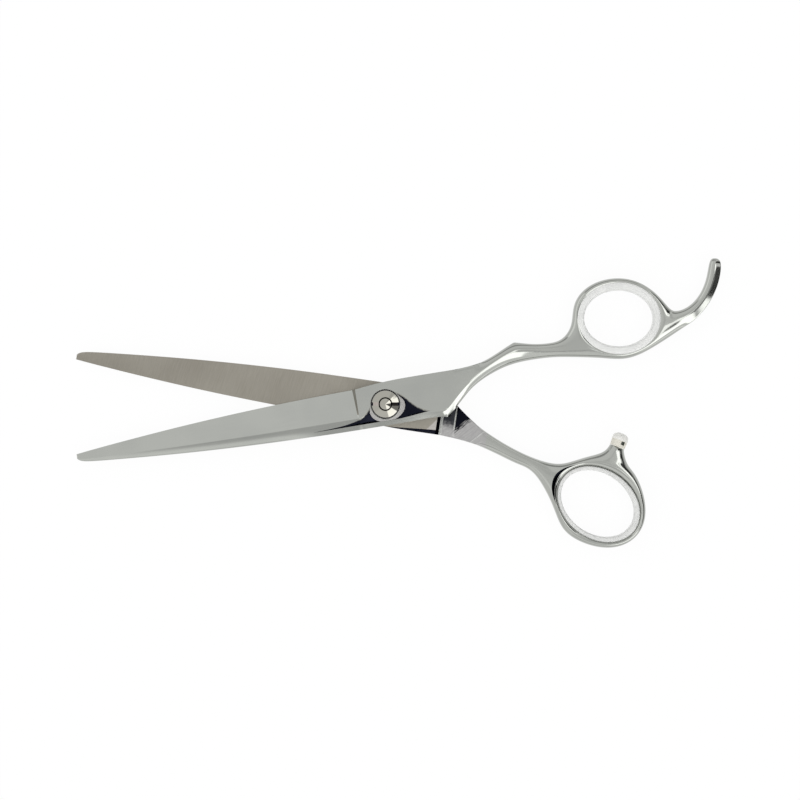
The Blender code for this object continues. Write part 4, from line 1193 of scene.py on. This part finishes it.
def makeStud(place):
    b, small = bumperForm, bumperForm["round"]
    radius, pin, top = b["stud"], b["pin"], b["studIn"]
    low, cut = top - b["studLength"] + pivotForm["fit"], radius * b["studCut"]
    profile = [(0, low), (radius - cut, low), (radius, low + cut), (radius, -cut), (radius - cut, 0.0)]
    profile += [(pin, 0.0), (pin, top - small), (pin - small, top), (0, top)]
    stud = turned("bumperStud", profile, (studSteel,), b["studSteps"])
    return settle(stud, place, b["studSharp"], "thumb_half", ["bumper_stud"])


bumperCap = makeCap(thumbPlace @ hornPlace())
bumperStud = makeStud(thumbPlace @ hornPlace())
print("bumper:", len(bumperCap.data.polygons), "faces, stud:", len(bumperStud.data.polygons))

hiddenFinishes = {
    "pivot_bush": bushBronze, "spring_washer": springSteel,
    "friction_washer": washerNylon, "glide_washer": washerNylon,
}
for node, finish in hiddenFinishes.items():
    frame["nodes"][node].data.materials.clear()
    frame["nodes"][node].data.materials.append(finish)

# light, floor and camera
tent = {
    "level": (0.95, 1.04), "levelFade": (4.0, 25.0),  # overhead and towards the sides, and where it changes
    "patches": (  # azimuth from, to, polar angle from, to, softness, level; degrees, later over earlier
        (-140, -45, 30, 84, 12, 1.15),
        (-112, -45, 14, 25, 6, 0.72),
        (-150, -97, 3, 13, 4, 1.2),
        (-120, 130, 85, 94, 4, 0.35),
        (62, 140, 60, 88, 6, 0.5),
        (24, 80, 3, 13, 3, 0.86),
        (46, 64, 14, 46, 4, 0.85),
        (130, 186, 46, 84, 6, 1.4),
        (-40, -4, 9, 19, 3, 2.2),
        (9, 31, 24, 40, 2, 2.6),
        (30, 45, 26, 31, 1.5, 2.6),
        (30, 45, 34, 38.5, 1.5, 2.6),
        (9, 29, 50, 72, 3, 0.05),
        (29, 46, 40, 72, 2, 0.05),
        (-31, 9, 20, 31, 2, 0.2),
        (-31, 9, 31, 39, 2, 0.4),
        (-31, 14, 39, 70, 3, 0.04),
        (-36, -17, 39.5, 48, 2, 2.6),
        (-76, -32, 20, 48, 4, 2.6),
        (-60, -34, 70, 100, 6, 1.5),
        (-31, 46, 72, 112, 6, 0.55),
    ),
}


def hangTent():
    world = bpy.data.worlds.new("tent")
    scene.world = world
    world.use_nodes = True
    graph = Graph(world.node_tree)
    x, y, z = graph.axes(graph.node("ShaderNodeTexCoord", output="Generated"))
    polar = z.maths("ARCCOSINE") * (180 / math.pi)
    azimuth = y.maths("ARCTAN2", x) * (180 / math.pi)

    def inside(value, low, high, soft):
        start = graph.span(value, low - soft / 2, low + soft / 2)
        return start * (1 - graph.span(value, high - soft / 2, high + soft / 2))

    level = graph.span(polar, *tent["levelFade"], *tent["level"])
    for azLow, azHigh, low, high, soft, value in tent["patches"]:
        mask = inside(polar, low, high, soft) * inside(azimuth, azLow, azHigh, soft)
        level = level * (1 - mask) + mask * value
    light = graph.node("ShaderNodeCombineXYZ", {}, {0: level, 1: level, 2: level})
    path = graph.node("ShaderNodeLightPath")
    shown = graph.blend(path.of("Is Camera Ray"), light, (1, 1, 1))
    graph.put(shown, world.node_tree.nodes["Background"].inputs["Color"])


floorForm = {  # metres, and how much of the paper's white is seen as it is
    "half": 3, "height": -0.0002, "fibre": 0.002, "shade": (0.97,) * 3, "colour": (0.985,) * 3, "white": 0.95,
}


def layFloor():
    f = floorForm
    mesh = bpy.data.meshes.new("floor")
    corners = ((-1, -1), (1, -1), (1, 1), (-1, 1))
    mesh.from_pydata([(x * f["half"], y * f["half"], f["height"]) for x, y in corners], [], [(0, 1, 2, 3)])
    floor = linked("floor", mesh)
    graph = newFinish("paper")
    nodes = graph.tree.nodes
    nodes.remove(nodes["Principled BSDF"])
    tone = graph.tones(f, graph.grain(f["fibre"], 3.0))
    matt = graph.node("ShaderNodeBsdfDiffuse", {}, {"Color": tone})
    glow = graph.node("ShaderNodeEmission", {}, {"Color": (1, 1, 1, 1), "Strength": 1.0})
    path = graph.node("ShaderNodeLightPath")
    seen = path.of("Is Camera Ray")
    for ray in ("Is Glossy Ray", "Is Transmission Ray"):
        seen = seen.maths("MAXIMUM", path.of(ray))
    mixed = graph.node("ShaderNodeMixShader", {}, {0: seen * f["white"], 1: matt, 2: glow})
    graph.put(mixed, nodes["Material Output"].inputs["Surface"])
    mesh.materials.append(graph.owner)


view = {  # millimetres on the middle plane, apart from the metres of the near clip
    "aim": (4.3, 1.2), "distance": 600.0, "across": 236.7, "sensor": 36.0, "near": 0.01,
}


def setCamera():
    lens = bpy.data.cameras.new("camera")
    lens.sensor_width = view["sensor"]
    lens.lens = view["sensor"] * view["distance"] / view["across"]
    lens.clip_start = view["near"]
    camera = linked("camera", lens)
    camera.location = toMetres @ Vector((*view["aim"], view["distance"] + pose["midPlane"]))
    scene.camera = camera


hangTent()
layFloor()
setCamera()
scene.view_settings.view_transform = "Standard"
print("light, floor and camera set")

bpy.context.view_layer.update()
